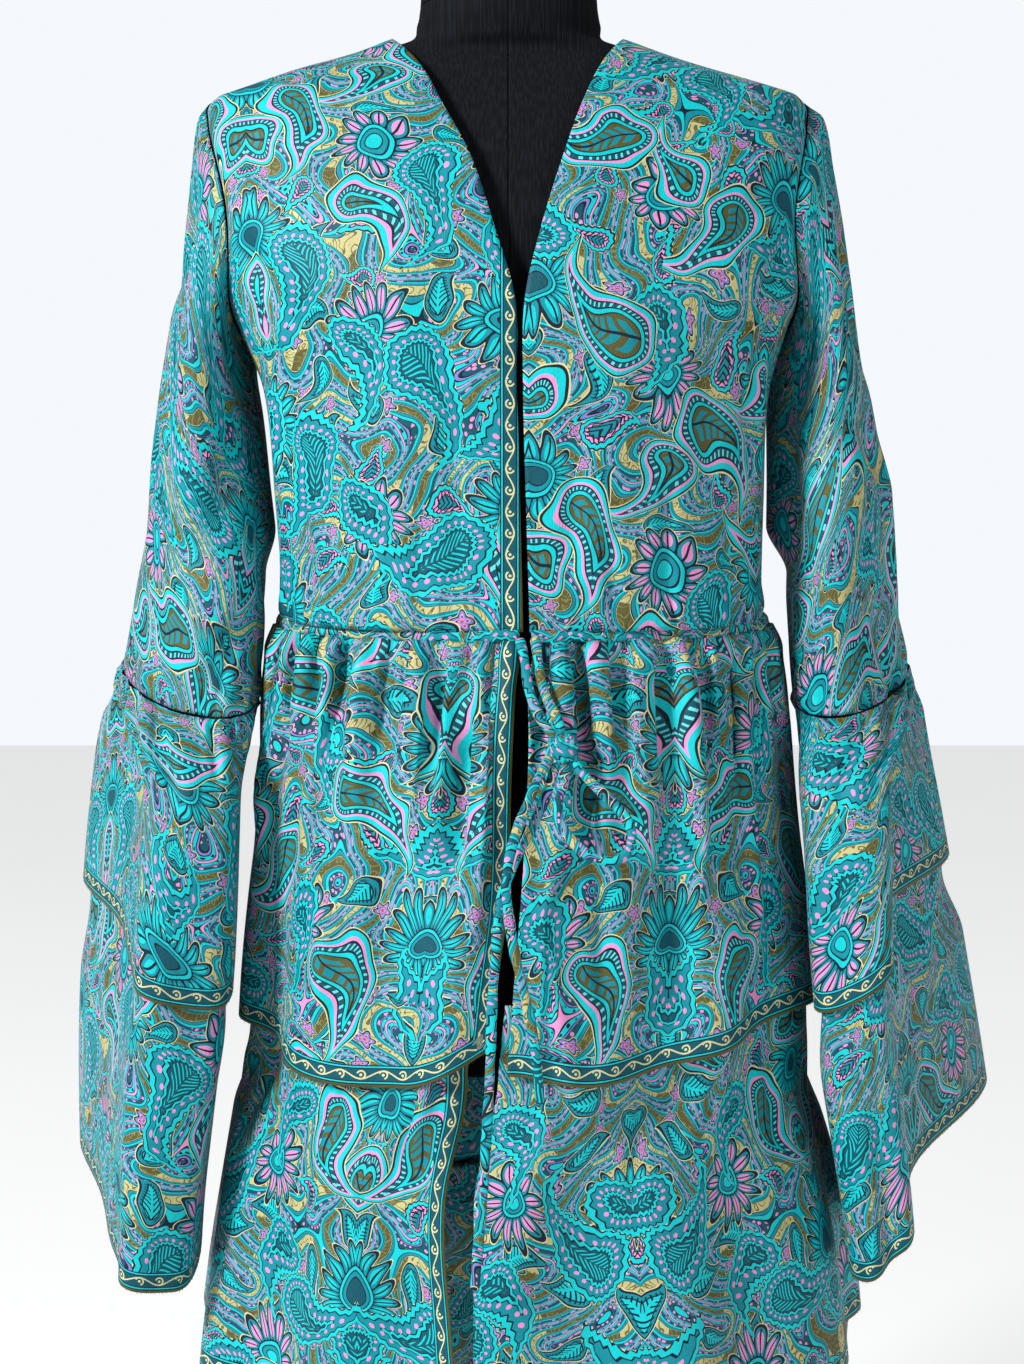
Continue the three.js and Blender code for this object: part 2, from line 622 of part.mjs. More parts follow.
// A skirt tier: u runs from the right front edge round the back to the left front edge.
function tierRing(tier, u, z) {
  const value = (name) => sample(tier.rows, "z", z, name);
  const middle = (value("left") + value("right")) / 2;
  const half = (value("right") - value("left")) / 2;
  const start = Math.asin((value("edgeR") - middle) / half);
  const end = 2 * Math.PI + Math.asin((value("edgeL") - middle) / half);
  const turn = mix(start, end, u);
  const bend = (t) => Math.sign(t) * Math.abs(t) ** (2 / SKIRT_SQUARENESS);
  const depth = Math.cos(turn) > 0 ? value("front") : value("back");
  return {
    point: new THREE.Vector3(middle + half * bend(Math.sin(turn)), -depth * bend(Math.cos(turn)), z),
    out: new THREE.Vector3(Math.sin(turn) / half, -Math.cos(turn) / depth, 0).normalize(),
  };
}

function tierPoint(tier, u, share) {
  const top = tier.rows[0].z;
  const hem = tier.rows.at(-1).z;
  const z = mix(top, hem, share);
  const { point, out } = tierRing(tier, u, z);
  if (tier.hem) point.z -= sample(tier.hem, "u", clamp(u, 0, 1), "drop") * smooth(share, 0.5, 1);
  const uneven = u + 0.011 * Math.sin(6 * Math.PI * u) + 0.006 * Math.sin(14 * Math.PI * u + 1);
  const swell = 1 + 0.2 * Math.sin(10 * Math.PI * u + tier.folds);
  const gathers = tier.gatherDepth * swell * (1 - smooth(share, 0.1, 0.7))
    * Math.cos(2 * Math.PI * tier.gathers * uneven);
  const folds = tier.foldDepth * swell * smooth(share, 0.02, 1)
    * Math.cos(2 * Math.PI * tier.folds * uneven + tier.gathers);
  return point.addScaledVector(out, gathers + folds);
}

// A tier sewn inside the hem of the one above starts on that tier's own surface, moved in.
function hangingPoint(tier, above, u, share) {
  const top = tier.rows[0].z;
  const hem = tier.rows.at(-1).z;
  const z = mix(top, hem, share);
  const aboveTop = above.rows[0].z;
  const aboveHem = above.rows.at(-1).z;
  const overlap = (top - aboveHem) / (top - hem);
  const aboveShare = clamp((aboveTop - z) / (aboveTop - aboveHem), 0, 1);
  const { out } = tierRing(above, u, mix(aboveTop, aboveHem, aboveShare));
  const aboveCurve = (t) => tierPoint(above, t, aboveShare);
  const inward = -CLOTH - TIER_GAP - TIER_TUCK * smooth(share, 0, overlap);
  const held = aboveCurve(u).addScaledVector(squareTo(aboveCurve, u, out), inward).setZ(z);
  return held.lerp(tierPoint(tier, u, share), smooth(share, overlap, Math.min(3 * overlap, 0.8)));
}

function skirt() {
  const shareAt = (tier, z) => (tier.rows[0].z - z) / (tier.rows[0].z - tier.rows.at(-1).z);
  addCloth("skirt_peplum", "cloth", {
    columns: TIERS.peplum.columns,
    rows: [0, 0.1, 0.28, 0.55, shareAt(TIERS.peplum, TIERS.lower.rows[0].z), 1],
    closed: false,
    place: (u, v) => tierPoint(TIERS.peplum, u, v),
  });
  addCloth("skirt_tier_2", "cloth", {
    columns: TIERS.lower.columns,
    rows: [0, 0.16, 0.38, 0.62, shareAt(TIERS.lower, TIERS.last.rows[0].z), 1],
    closed: false,
    place: (u, v) => hangingPoint(TIERS.lower, TIERS.peplum, u, v),
  });
  addCloth("skirt_tier_3", "cloth", {
    columns: TIERS.last.columns,
    rows: [0, 0.15, 0.35, 0.65, 1],
    closed: false,
    place: (u, v) => hangingPoint(TIERS.last, TIERS.lower, u, v),
  });
}

// Waist casing: a flat tunnel between the bodice's lower edge and the peplum's gathers.
function waistCasing() {
  const place = (u, v) => {
    const { point } = tierRing(TIERS.peplum, u, TIERS.peplum.rows[0].z);
    point.z = WAIST_Z + CASING_HEIGHT * (0.5 - v);
    return point;
  };
  addCloth("waist_casing", "trim",
    { columns: 56, rows: 1, closed: false, place, thickness: CASING_THICKNESS });
}

// Drawstring: round tubes along the routes, and a rounded knot.
function drawstring() {
  for (const [name, route] of Object.entries(STRINGS)) {
    const path = new THREE.CatmullRomCurve3(route.map((p) => new THREE.Vector3(...p)));
    const steps = Math.max(4, Math.round(path.getLength() / STRING_STEP));
    const section = new THREE.Shape();
    section.absarc(0, 0, STRING_RADIUS, 0, 2 * Math.PI);
    const geometry = new THREE.ExtrudeGeometry(section,
      { steps, curveSegments: 4, extrudePath: path, bevelEnabled: false });
    addMesh(name, "cloth", geometry);
  }
  const knot = new THREE.SphereGeometry(1, 12, 8);
  knot.scale(KNOT_SIZE.x, KNOT_SIZE.y, KNOT_SIZE.z);
  addMesh("drawstring_knot", "cloth", knot).position.copy(KNOT);
}

// Dress form: one smooth closed body from hips to neck seam, and a domed neck block on it.
function formRing(z, count) {
  const value = (name) => sample(FORM, "z", z, name);
  return Array.from({ length: count }, (_, i) => {
    const turn = (i / count) * 2 * Math.PI;
    const bend = (t) => Math.sign(t) * Math.abs(t) ** (2 / FORM_SQUARENESS);
    const depth = Math.cos(turn) > 0 ? value("front") : value("back");
    return new THREE.Vector3(value("middle") + value("half") * bend(Math.sin(turn)),
      SHOULDER_Y - depth * bend(Math.cos(turn)), z);
  });
}

function addStack(name, look, rings) {
  const count = rings[0].length;
  const points = rings.flat();
  const faces = [];
  rings.slice(1).forEach((_, j) => {
    for (let i = 0; i < count; i += 1) {
      const next = (i + 1) % count;
      faces.push(...quad(j * count + i, j * count + next, (j + 1) * count + next, (j + 1) * count + i));
    }
  });
  const centre = (ring) => ring.reduce((sum, p) => sum.add(p), new THREE.Vector3()).divideScalar(count);
  const first = points.push(centre(rings[0])) - 1;
  const last = points.push(centre(rings.at(-1))) - 1;
  const lastStart = (rings.length - 1) * count;
  for (let i = 0; i < count; i += 1) {
    const next = (i + 1) % count;
    faces.push([first, next, i]);
    faces.push([last, lastStart + i, lastStart + next]);
  }
  addSolid(name, look, points, faces);
}

function dressForm() {
  const around = 28;
  addStack("form_torso", "form", FORM.map((row) => formRing(row.z, around)));
  const seam = FORM_NECK_SEAM_Z + SEAM;
  addStack("form_neck", "form", NECK_BLOCK.map(({ up, share }) => formRing(FORM_NECK_SEAM_Z, around)
    .map((p) => new THREE.Vector3(
      p.x * share,
      mix(SHOULDER_Y, p.y, share) - up * NECK_LEAN,
      seam + up,
    ))));
}

function stand() {
  const base = [[0, 0], [BASE_RADIUS, 0], [BASE_RADIUS, BASE_EDGE],
    [BASE_RADIUS - BASE_BEVEL, BASE_HEIGHT - BASE_BEVEL / 2], [2 * HUB_RADIUS, BASE_HEIGHT],
    [HUB_RADIUS, BASE_HEIGHT + BASE_BEVEL / 2], [HUB_RADIUS, HUB_HEIGHT], [0, HUB_HEIGHT]];
  const lathe = (rows, segments) => new THREE.LatheGeometry(rows.map(([r, z]) => new THREE.Vector2(r, z)),
    segments).rotateX(Math.PI / 2);
  addMesh("stand_base", "metal", lathe(base, 32));
  const poleBottom = HUB_HEIGHT + SEAM;
  const poleTop = FORM_BOTTOM_Z - SEAM;
  addMesh("stand_pole", "metal", lathe([[0, poleBottom], [POLE_RADIUS, poleBottom],
    [POLE_RADIUS, poleTop], [0, poleTop]], 20));
}

for (const [side, way] of [["left", -1], ["right", 1]]) {
  frontPanel(side, way);
  upperSleeve(side, way);
  bell(side, way);
}
backPanel();
waistCasing();
skirt();
drawstring();
dressForm();
stand();

export default group;
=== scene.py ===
"""Tiered open-front robe with bell sleeves on a dress form: its cloth, print, tie, form and stand.

Sizes are in millimetres up to the last step of each mesh, which turns them into metres.
x runs to the right of someone facing the robe's front, the front faces -y, z is up.
"""

import math

import bpy
import numpy as np
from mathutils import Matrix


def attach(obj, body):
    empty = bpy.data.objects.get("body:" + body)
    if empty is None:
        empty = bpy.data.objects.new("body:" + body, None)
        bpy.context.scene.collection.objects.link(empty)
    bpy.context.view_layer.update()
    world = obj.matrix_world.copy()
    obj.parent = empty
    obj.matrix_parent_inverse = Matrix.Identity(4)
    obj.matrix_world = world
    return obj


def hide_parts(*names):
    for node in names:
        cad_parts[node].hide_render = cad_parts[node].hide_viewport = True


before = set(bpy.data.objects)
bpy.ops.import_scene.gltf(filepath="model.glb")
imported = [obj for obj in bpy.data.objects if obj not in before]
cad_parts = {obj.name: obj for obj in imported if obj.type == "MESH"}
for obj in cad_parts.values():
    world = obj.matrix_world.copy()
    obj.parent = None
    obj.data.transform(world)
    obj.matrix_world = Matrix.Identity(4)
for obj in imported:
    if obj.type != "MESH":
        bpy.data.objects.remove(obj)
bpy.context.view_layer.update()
MM = 0.001
scene = bpy.context.scene


# Camera

CAMERA_PLACE = (0.002, -1.25, 1.163)
CAMERA_PITCH = 7.15
LENS = 48.83
SENSOR_WIDTH = 36.0

camera_data = bpy.data.cameras.new("camera")
camera_data.lens = LENS
camera_data.sensor_width = SENSOR_WIDTH
camera = bpy.data.objects.new("camera", camera_data)
camera.location = CAMERA_PLACE
camera.rotation_euler = (math.radians(90 - CAMERA_PITCH), 0, 0)
scene.collection.objects.link(camera)
scene.camera = camera


# Small tools

def table(names, rows):
    """Columns of a short table by name, as arrays."""
    return {name: np.array([row[i] for row in rows], float) for i, name in enumerate(names)}


def mix(a, b, t):
    return a + (b - a) * t


def smooth(value, low, high):
    t = np.clip((value - low) / (high - low), 0, 1)
    return t * t * (3 - 2 * t)


def rise(value, centre, width):
    return np.exp(-((value - centre) / width) ** 2)


def sample(rows, key, value, name):
    """One column of a table at any values of its key column, on a smooth curve through the rows."""
    keys, values = rows[key], rows[name]
    way = np.sign(keys[-1] - keys[0])
    value = np.asarray(value, float)
    i = np.clip(np.searchsorted(way * keys, way * value, side="left") - 1, 0, len(keys) - 2)
    before = np.maximum(np.arange(len(keys)) - 1, 0)
    after = np.minimum(np.arange(len(keys)) + 1, len(keys) - 1)
    slope = (values[after] - values[before]) / (keys[after] - keys[before])
    span = keys[i + 1] - keys[i]
    t = np.clip((value - keys[i]) / span, 0, 1)
    s = 1 - t
    return (values[i] * s * s * (1 + 2 * t) + values[i + 1] * t * t * (3 - 2 * t)
            + slope[i] * span * s * s * t - slope[i + 1] * span * t * t * s)


def stack(x, y, z):
    return np.stack(np.broadcast_arrays(x, y, z), axis=-1).astype(float)


def level_square(place, t, guess):
    """The level direction square to a level curve place(t), on the side of a rough guess."""
    h = 1e-3
    along = place(t + h) - place(t - h)
    along[..., 2] = 0
    along /= np.linalg.norm(along, axis=-1, keepdims=True)
    square = stack(-along[..., 1], along[..., 0], 0 * along[..., 0])
    flip = np.sum(square * guess, axis=-1, keepdims=True) < 0
    return np.where(flip, -square, square)


# Sizes of the robe, as in the solids

SEAM = 0.3
CLOTH = 1.5
RIM_GAP = 0.8
NECK_POINT_Z = 1427
SHOULDER_TIP_Z = 1390
UNDERARM_Z = 1240
WAIST_Z = 1050
CASING_HEIGHT = 8
ELBOW_Z = 992
ELBOW_RISE = 30
NECK_POINT_X = 76
SHOULDER_TIP_X = 190
SHOULDER_Y = 8
BACK_NECK_DIP = 14
BACK_DIP_REACH = 0.45
BACK_COLUMN_X = 58
BACK_COLUMN_SHARE = 0.35
ARMHOLE_REACH = 0.563
ARMHOLE_STEP = 1.7
ARMHOLE_BLEND = 110
BODICE_SQUARENESS = 2.5
FORM_SQUARENESS = 2.2
SKIRT_SQUARENESS = 2.1
FORM_DROP = 1.5
TURN = 2 * math.pi

BODICE = table(["z", "middle", "half", "front", "back"], [
    [1427, -1, 76, 44, 44],
    [1417.75, -1, 104.5, 52, 50],
    [1408.5, -1, 133, 60, 56],
    [1399.25, -1, 161.5, 68, 62],
    [1390, -1, 190, 76, 68],
    [1372, -1, 198, 90, 80],
    [1345, 0, 201, 106, 92],
    [1310, 1, 198, 121, 101],
    [1262, 3, 189, 134, 106],
    [1240, 3, 180, 135, 105],
    [1200, 5, 167, 134, 103],
    [1130, 7, 163, 131, 99],
    [1050, 9, 160, 128, 98],
])
FORM = table(["z", "middle", "half", "front", "back"], [
    [1448, 0, 58, 54, 50],
    [1438, 0, 60, 54, 50],
    [1427 - FORM_DROP, -1, 66, 50, 43],
    [1417.75 - FORM_DROP, -1, 104.5, 44, 41],
    [1408.5 - FORM_DROP, -1, 133, 52, 49],
    [1399.25 - FORM_DROP, -1, 161, 58, 54],
    [1385, -1, 178, 68, 60],
    [1368, 0, 181, 81, 68],
    [1340, 0, 176, 97, 80],
    [1305, 0, 165, 112, 90],
    [1262, 0, 154, 121, 94],
    [1200, 0, 140, 112, 88],
    [1130, 0, 127, 97, 78],
    [1050, 0, 120, 88, 72],
    [950, 0, 146, 104, 92],
    [860, 0, 164, 111, 106],
    [790, 0, 160, 107, 102],
    [760, 0, 154, 102, 97],
])
NECK_BLOCK = table(["up", "share"], [[0, 1], [30, 0.965], [62, 1], [74, 0.9], [80, 0.62]])
NECK_BLOCK_Z = 1448
NECK_LEAN = 0.06
FRONT_EDGE = table(["z", "left", "right"], [
    [1427, -77, 75],
    [1403, -56, 58],
    [1372, -39.5, 44],
    [1340, -23, 33],
    [1296, -8.5, 19.5],
    [1252, 4, 9.5],
    [1200, 5, 8.6],
    [1130, 7, 10.5],
    [1050, 9, 13],
])
LOW_ROW = WAIST_Z + CASING_HEIGHT / 2 + SEAM
PANEL_ROWS = table(["inner", "outer"], [
    [NECK_POINT_Z, SHOULDER_TIP_Z],
    [1424.5, 1388],
    [1420, 1384],
    [1411, 1376],
    [1396, 1360],
    [1370, 1336],
    [1338, 1308],
    [1298, 1274],
    [1252, UNDERARM_Z],
    [1200, 1196],
    [1150, 1152],
    [1098, 1098],
    [LOW_ROW, LOW_ROW],
])
SLEEVE_COLUMNS = ["down", "outX", "outZ", "inX", "inZ", "front", "back", "lean"]
SLEEVES = {
    "left": table(SLEEVE_COLUMNS, [
        [0, 193, 1390, 179, 1240, 62, 55, 0],
        [14, 199, 1380, 180, 1232, 63, 57, 0],
        [45, 205, 1350, 180, 1222, 64, 60, 2],
        [85, 212, 1310, 179, 1208, 66, 62, 4],
        [155, 226, 1241, 174, 1180, 68, 65, 8],
        [235, 241, 1162, 169, 1136, 69, 68, 14],
        [300, 249, 1098, 164, 1090, 70, 70, 22],
        [345, 257, 1053, 163, 1048, 70, 73, 32],
        [397, 270, ELBOW_Z, 168, ELBOW_Z, 70, 74, 42],
    ]),
    "right": table(SLEEVE_COLUMNS, [
        [0, 190, 1390, 186, 1240, 62, 55, 0],
        [14, 201, 1381, 187, 1232, 63, 57, 0],
        [45, 209, 1351, 188, 1222, 64, 60, 2],
        [85, 219, 1310, 189, 1208, 66, 62, 4],
        [155, 232, 1241, 189, 1180, 67, 65, 8],
        [235, 249, 1162, 189, 1136, 67, 68, 14],
        [300, 257, 1098, 188, 1090, 67, 70, 22],
        [345, 264, 1053, 187, 1048, 67, 73, 32],
        [397, 278, ELBOW_Z, 190, ELBOW_Z, 68, 74, 40],
    ]),
}
HEAD_GATHER = {"depth": 1.6, "down": 9, "width": 14, "count": 14}
ELBOW_RISE_FROM = 200
BELL_COLUMNS = ["z", "frontX", "frontY", "frontW", "frontD",
                "backX", "backY", "backW", "backD", "cleft"]
BELLS = {
    "left": table(BELL_COLUMNS, [
        [1000, 204, -46, 40, 34, 248, 42, 40, 44, 6],
        [975, 202, -66, 41, 36, 260, 52, 46, 50, 20],
        [915, 205, -79, 43, 37, 269, 60, 51, 56, 26],
        [860, 209, -84, 45, 39, 275, 64, 53, 58, 26],
        [812, 213, -86, 45, 40, 278, 66, 54, 60, 25],
        [770, 218, -87, 43, 40, 281, 68, 55, 62, 23],
        [720, 224, -88, 41, 40, 284, 70, 55, 64, 21],
        [670, 229, -88, 38, 40, 286, 70, 54, 66, 19],
        [625, 233, -88, 36, 39, 286, 70, 54, 67, 18],
    ]),
    "right": table(BELL_COLUMNS, [
        [1000, 214, -46, 40, 34, 260, 42, 38, 44, 8],
        [975, 213, -68, 40, 36, 270, 52, 39, 50, 22],
        [915, 215, -82, 38, 37, 284, 60, 42, 56, 26],
        [860, 216, -88, 36, 39, 296, 64, 44, 60, 26],
        [812, 219, -91, 35, 40, 306, 66, 46, 62, 26],
        [770, 222, -90, 35, 40, 313, 68, 48, 64, 25],
        [720, 229, -90, 34, 40, 321, 70, 50, 66, 24],
        [670, 236, -90, 32, 40, 328, 70, 52, 67, 23],
        [630, 240, -90, 30, 39, 332, 70, 53, 68, 22],
    ]),
}
BELL_HEMS = {
    "left": {"upper": 812, "upperRise": 40, "lower": 625, "lowerRise": 26},
    "right": {"upper": 812, "upperRise": 64, "lower": 634, "lowerRise": 60},
}
BELL_OVERLAP = 30
BELL_GATHERS = {"count": 14, "depth": 2.2}
BELL_FOLDS = {"count": 5, "depth": 4.2}
BELL_PUFF = {"out": 6, "share": 0.13, "width": 0.09}
BELL_TUCK = 3
BELL_INSET = 2
CLEFT_TURN = 0.18
CLEFT_WIDTH = 0.42
INNER_CALM = 0.3
SKIRT_COLUMNS = ["z", "left", "right", "front", "back", "edgeL", "edgeR"]
SKIRT = table(SKIRT_COLUMNS, [
    [1045.2, -156, 174, 122, 104, 7, 13],
    [1030, -161, 180, 129, 110, 6, 13],
    [994, -166, 186, 140, 118, 3, 12],
    [940, -170, 191, 153, 128, -4, 9],
    [880, -174, 197, 167, 138, -12, 4],
    [830, -177, 202, 176, 146, -18, 0],
    [789, -179, 206, 183, 152, -22, -3],
])
LOWER_SKIRT = table(SKIRT_COLUMNS, [
    [830, -171, 196, 168, 139, -24, -10],
    [789, -173, 198, 174, 144, -29, -15],
    [740, -186, 206, 180, 153, -33, -18],
    [690, -196, 219, 187, 162, -35, -18],
    [640, -204, 230, 193, 170, -31, -18],
    [600, -210, 236, 198, 176, -28, -18],
    [562, -215, 240, 202, 180, -27, -18],
])
LAST_SKIRT = table(SKIRT_COLUMNS, [
    [600, -202, 228, 190, 168, -34, -22],
    [562, -205, 231, 192, 170, -33, -22],
    [530, -215, 236, 196, 177, -32, -21],
    [450, -226, 244, 206, 190, -30, -20],
    [390, -232, 250, 213, 198, -28, -20],
    [340, -236, 254, 218, 204, -27, -20],
])
PEPLUM_HEM = table(["u", "drop"], [
    [0, 0], [0.06, 2], [0.16, -14], [0.3, -12], [0.7, -6], [0.84, 2], [0.9, 13], [0.96, 11], [1, -16],
])
TIERS = {
    "peplum": {"rows": SKIRT, "hem": PEPLUM_HEM, "gathers": 40, "gatherDepth": 3, "folds": 13,
               "foldDepth": 6.5},
    "lower": {"rows": LOWER_SKIRT, "gathers": 24, "gatherDepth": 1, "folds": 12, "foldDepth": 7.5},
    "last": {"rows": LAST_SKIRT, "gathers": 24, "gatherDepth": 1, "folds": 12, "foldDepth": 8.5},
}
TIER_GAP = 2.4
TIER_TUCK = 4
KNOT = (33, -157, 985.5)
STRINGS = {
    "drawstring_strand_left": [
        [6.5, -126, 1049], [9.5, -136, 1037], [11, -144, 1025.5], [14.5, -150, 1013],
        [20.5, -154.5, 1001.5], [27.2, -157, 992.5],
    ],
    "drawstring_strand_right": [
        [16, -126, 1050], [17.8, -135, 1037], [20, -143, 1023], [24, -149, 1012.5],
        [29.3, -154, 1002.5], [32.2, -157, 994.6],
    ],
    "drawstring_loop": [
        [34.2, -158.3, 976.6], [32.9, -163, 965], [29.5, -168, 955.5], [29.5, -171.5, 946.5],
        [33.5, -174.5, 938.5], [40.5, -177, 930.5], [49, -179, 924.5], [58.5, -180, 922],
        [67, -180, 924], [72, -178.5, 931], [72.5, -176, 939], [68.5, -173, 948], [61, -169, 956],
        [52.5, -165, 963.5], [44.5, -161, 971], [38.8, -158, 978],
    ],
    "drawstring_tail_right": [
        [28.7, -158, 977.6], [24.6, -164, 965.5], [19.2, -169, 952], [11.5, -175, 936.5],
        [3, -180, 920.5], [-3.3, -185, 904], [-6.2, -190, 886], [-8, -194.5, 865],
        [-9.7, -199, 840.5], [-10.5, -203, 815], [-11.5, -207, 789], [-13.2, -210, 760],
        [-15, -212, 730], [-17.5, -213.5, 702], [-20, -215, 672],
    ],
    "drawstring_tail_left": [
        [25, -159.6, 981.6], [18, -167, 970], [11.5, -175, 956.5], [5, -182, 941],
        [0.5, -187.5, 926], [-1.5, -192, 910], [0.3, -195.5, 891.5], [3.5, -198.5, 872],
        [8, -201.5, 853], [12.5, -204, 833], [16, -206.5, 811], [18.5, -208.5, 783],
    ],
}


# Surfaces of the robe: the solids' own forms, on finer grids

def bodice_point(x, z, behind):
    middle = sample(BODICE, "z", z, "middle")
    half = sample(BODICE, "z", z, "half")
    up_shoulder = (z - SHOULDER_TIP_Z) / (NECK_POINT_Z - SHOULDER_TIP_Z)
    half = np.where(z >= SHOULDER_TIP_Z, mix(SHOULDER_TIP_X, NECK_POINT_X, up_shoulder), half)
    depth = sample(BODICE, "z", z, "back" if behind else "front")
    share = np.clip(np.abs(x - middle) / half, 0, 1)
    reach = depth * (1 - share ** BODICE_SQUARENESS) ** (1 / BODICE_SQUARENESS) + SEAM / 2
    return stack(x, SHOULDER_Y + (reach if behind else -reach), z)


def armhole_point(way, phi):
    z = (SHOULDER_TIP_Z + UNDERARM_Z) / 2 + (SHOULDER_TIP_Z - UNDERARM_Z) / 2 * np.cos(phi)
    reach = ARMHOLE_REACH * np.abs(np.sin(phi))
    wide = sample(BODICE, "z", z, "half") * (1 - reach ** BODICE_SQUARENESS) ** (1 / BODICE_SQUARENESS)
    front = sample(BODICE, "z", z, "front")
    back = sample(BODICE, "z", z, "back")
    y = SHOULDER_Y + reach * np.where(np.sin(phi) < 0, back, -front)
    return stack(sample(BODICE, "z", z, "middle") + way * wide, y, z)


def panel_outer_x(way, z):
    turn = np.clip((2 * z - SHOULDER_TIP_Z - UNDERARM_Z) / (SHOULDER_TIP_Z - UNDERARM_Z), -1, 1)
    side = sample(BODICE, "z", z, "middle") + way * sample(BODICE, "z", z, "half")
    return np.where(z <= UNDERARM_Z, side, armhole_point(way, np.arccos(turn))[..., 0])


def panel_heights(v):
    at = v * (len(PANEL_ROWS["inner"]) - 1)
    steps = np.arange(len(PANEL_ROWS["inner"]))
    return np.interp(at, steps, PANEL_ROWS["inner"]), np.interp(at, steps, PANEL_ROWS["outer"])


def front_panel(side, way, u, v):
    """u from the front edge to the armhole and side seam, closer together towards the side."""
    inner, outer = panel_heights(v)
    across = np.sin(u * math.pi / 2)
    edge = sample(FRONT_EDGE, "z", inner, side)
    return bodice_point(mix(edge, panel_outer_x(way, outer), across), mix(inner, outer, across), False)


def back_panel(u, v):
    """u from the left armhole and side seam to the right one."""
    inner, outer = panel_heights(v)
    way = np.where(u < 0.5, -1.0, 1.0)
    across = np.abs(2 * u - 1)
    neck_share = mix(NECK_POINT_X / SHOULDER_TIP_X, BACK_COLUMN_SHARE, v)
    on_shoulder = across >= neck_share
    share = np.sin(np.clip((across - neck_share) / (1 - neck_share), 0, 1) * math.pi / 2)
    middle = sample(BODICE, "z", inner, "middle")
    neck_x = middle + way * mix(NECK_POINT_X, BACK_COLUMN_X, v)
    inside = np.clip(across / neck_share, 0, 1)
    dip = BACK_NECK_DIP * (1 - inside ** 2) * (1 - smooth(v, 0, BACK_DIP_REACH))
    outer_x = np.where(way < 0, panel_outer_x(-1, outer), panel_outer_x(1, outer))
    on_neck = mix(middle, neck_x, np.sin(inside * math.pi / 2))
    x = np.where(on_shoulder, mix(neck_x, outer_x, share), on_neck)
    z = np.where(on_shoulder, mix(inner, outer, share), inner - dip)
    return bodice_point(x, z, True)


def back_rise(phi):
    return (1 + np.cos(phi + math.pi / 4)) / 2


def sleeve_point(side, way, phi, down):
    """phi is 0 on the outer side, a quarter turn at the front, half a turn inside."""
    rows = SLEEVES[side]

    def ring(at):
        read = {name: sample(rows, "down", at, name) for name in SLEEVE_COLUMNS[1:]}
        outward = (read["outX"] + read["inX"]) / 2 + (read["outX"] - read["inX"]) / 2 * np.cos(phi)
        height = (read["outZ"] + read["inZ"]) / 2 + (read["outZ"] - read["inZ"]) / 2 * np.cos(phi)
        depth = np.where(np.sin(phi) > 0, read["front"], read["back"])
        y = SHOULDER_Y + read["lean"] * np.cos(phi) - depth * np.sin(phi)
        return stack(way * outward, y, height)

    down = np.asarray(down, float) + 0 * phi
    seam = armhole_point(way, phi)
    seam[..., 0] += way * ARMHOLE_STEP
    blend = 1 - smooth(down, 0, ARMHOLE_BLEND)
    point = ring(down) + (seam - ring(0 * down)) * blend[..., None]
    gather = HEAD_GATHER["depth"] * rise(down, HEAD_GATHER["down"], HEAD_GATHER["width"])
    on_head = smooth(np.cos(phi), 0.1, 0.8) * np.clip(down / HEAD_GATHER["down"], 0, 1)
    point[..., 2] += gather * on_head * np.cos(phi * HEAD_GATHER["count"])
    point[..., 2] += ELBOW_RISE * back_rise(phi) * smooth(down, ELBOW_RISE_FROM, rows["down"][-1])
    return point


def bell_ring(side, way, phi, z):
    read = {name: sample(BELLS[side], "z", z, name) for name in BELL_COLUMNS[1:]}
    across, toward = np.cos(phi), np.sin(phi)
    share = smooth(0.5 - 0.6 * toward, 0, 1)
    from_cleft = (phi - CLEFT_TURN + 3 * math.pi) % TURN - math.pi
    cleft = read["cleft"] * rise(from_cleft, 0, CLEFT_WIDTH)
    x = mix(read["frontX"] + read["frontW"] * across, read["backX"] + read["backW"] * across, share)
    y = mix(read["frontY"] - read["frontD"] * toward, read["backY"] - read["backD"] * toward, share)
    return stack(way * (x - cleft), y, z)


def bell_wave(phi, share, phase):
    uneven = phi + 0.18 * np.sin(2 * phi + phase)
    calm = mix(INNER_CALM, 1, smooth(np.cos(phi), -1, 0.1))
    ruffles = np.cos(BELL_GATHERS["count"] * uneven) * (1 - smooth(share, 0.05, 0.55))
    folds = np.cos(BELL_FOLDS["count"] * uneven + phase) * smooth(share, 0.1, 1)
    return calm * (BELL_GATHERS["depth"] * ruffles + BELL_FOLDS["depth"] * folds)


def sleeve_level(side, name, phi):
    if name == "elbow":
        return ELBOW_Z + ELBOW_RISE * back_rise(phi)
    return BELL_HEMS[side][name] + BELL_HEMS[side][name + "Rise"] * back_rise(phi)


def bell_out(way, phi):
    return stack(way * np.cos(phi), -np.sin(phi), 0 * phi)


def bell_upper(side, way, phi, share):
    elbow = sleeve_level(side, "elbow", phi)
    z = mix(elbow, sleeve_level(side, "upper", phi), share)
    point = bell_ring(side, way, phi, z)
    seam = sleeve_point(side, way, phi, SLEEVES[side]["down"][-1])
    gap = seam - bell_ring(side, way, phi, elbow)
    gap[..., 2] = 0
    point += gap * (1 - smooth(share, 0, 0.3))[..., None]
    puff = BELL_PUFF["out"] * mix(INNER_CALM, 1, smooth(np.cos(phi), -1, 0.1))
    wave = bell_wave(phi, share, way) * smooth(share, -0.1, 0.08)
    wave = wave + puff * rise(share, BELL_PUFF["share"], BELL_PUFF["width"])
    return point + bell_out(way, phi) * wave[..., None]


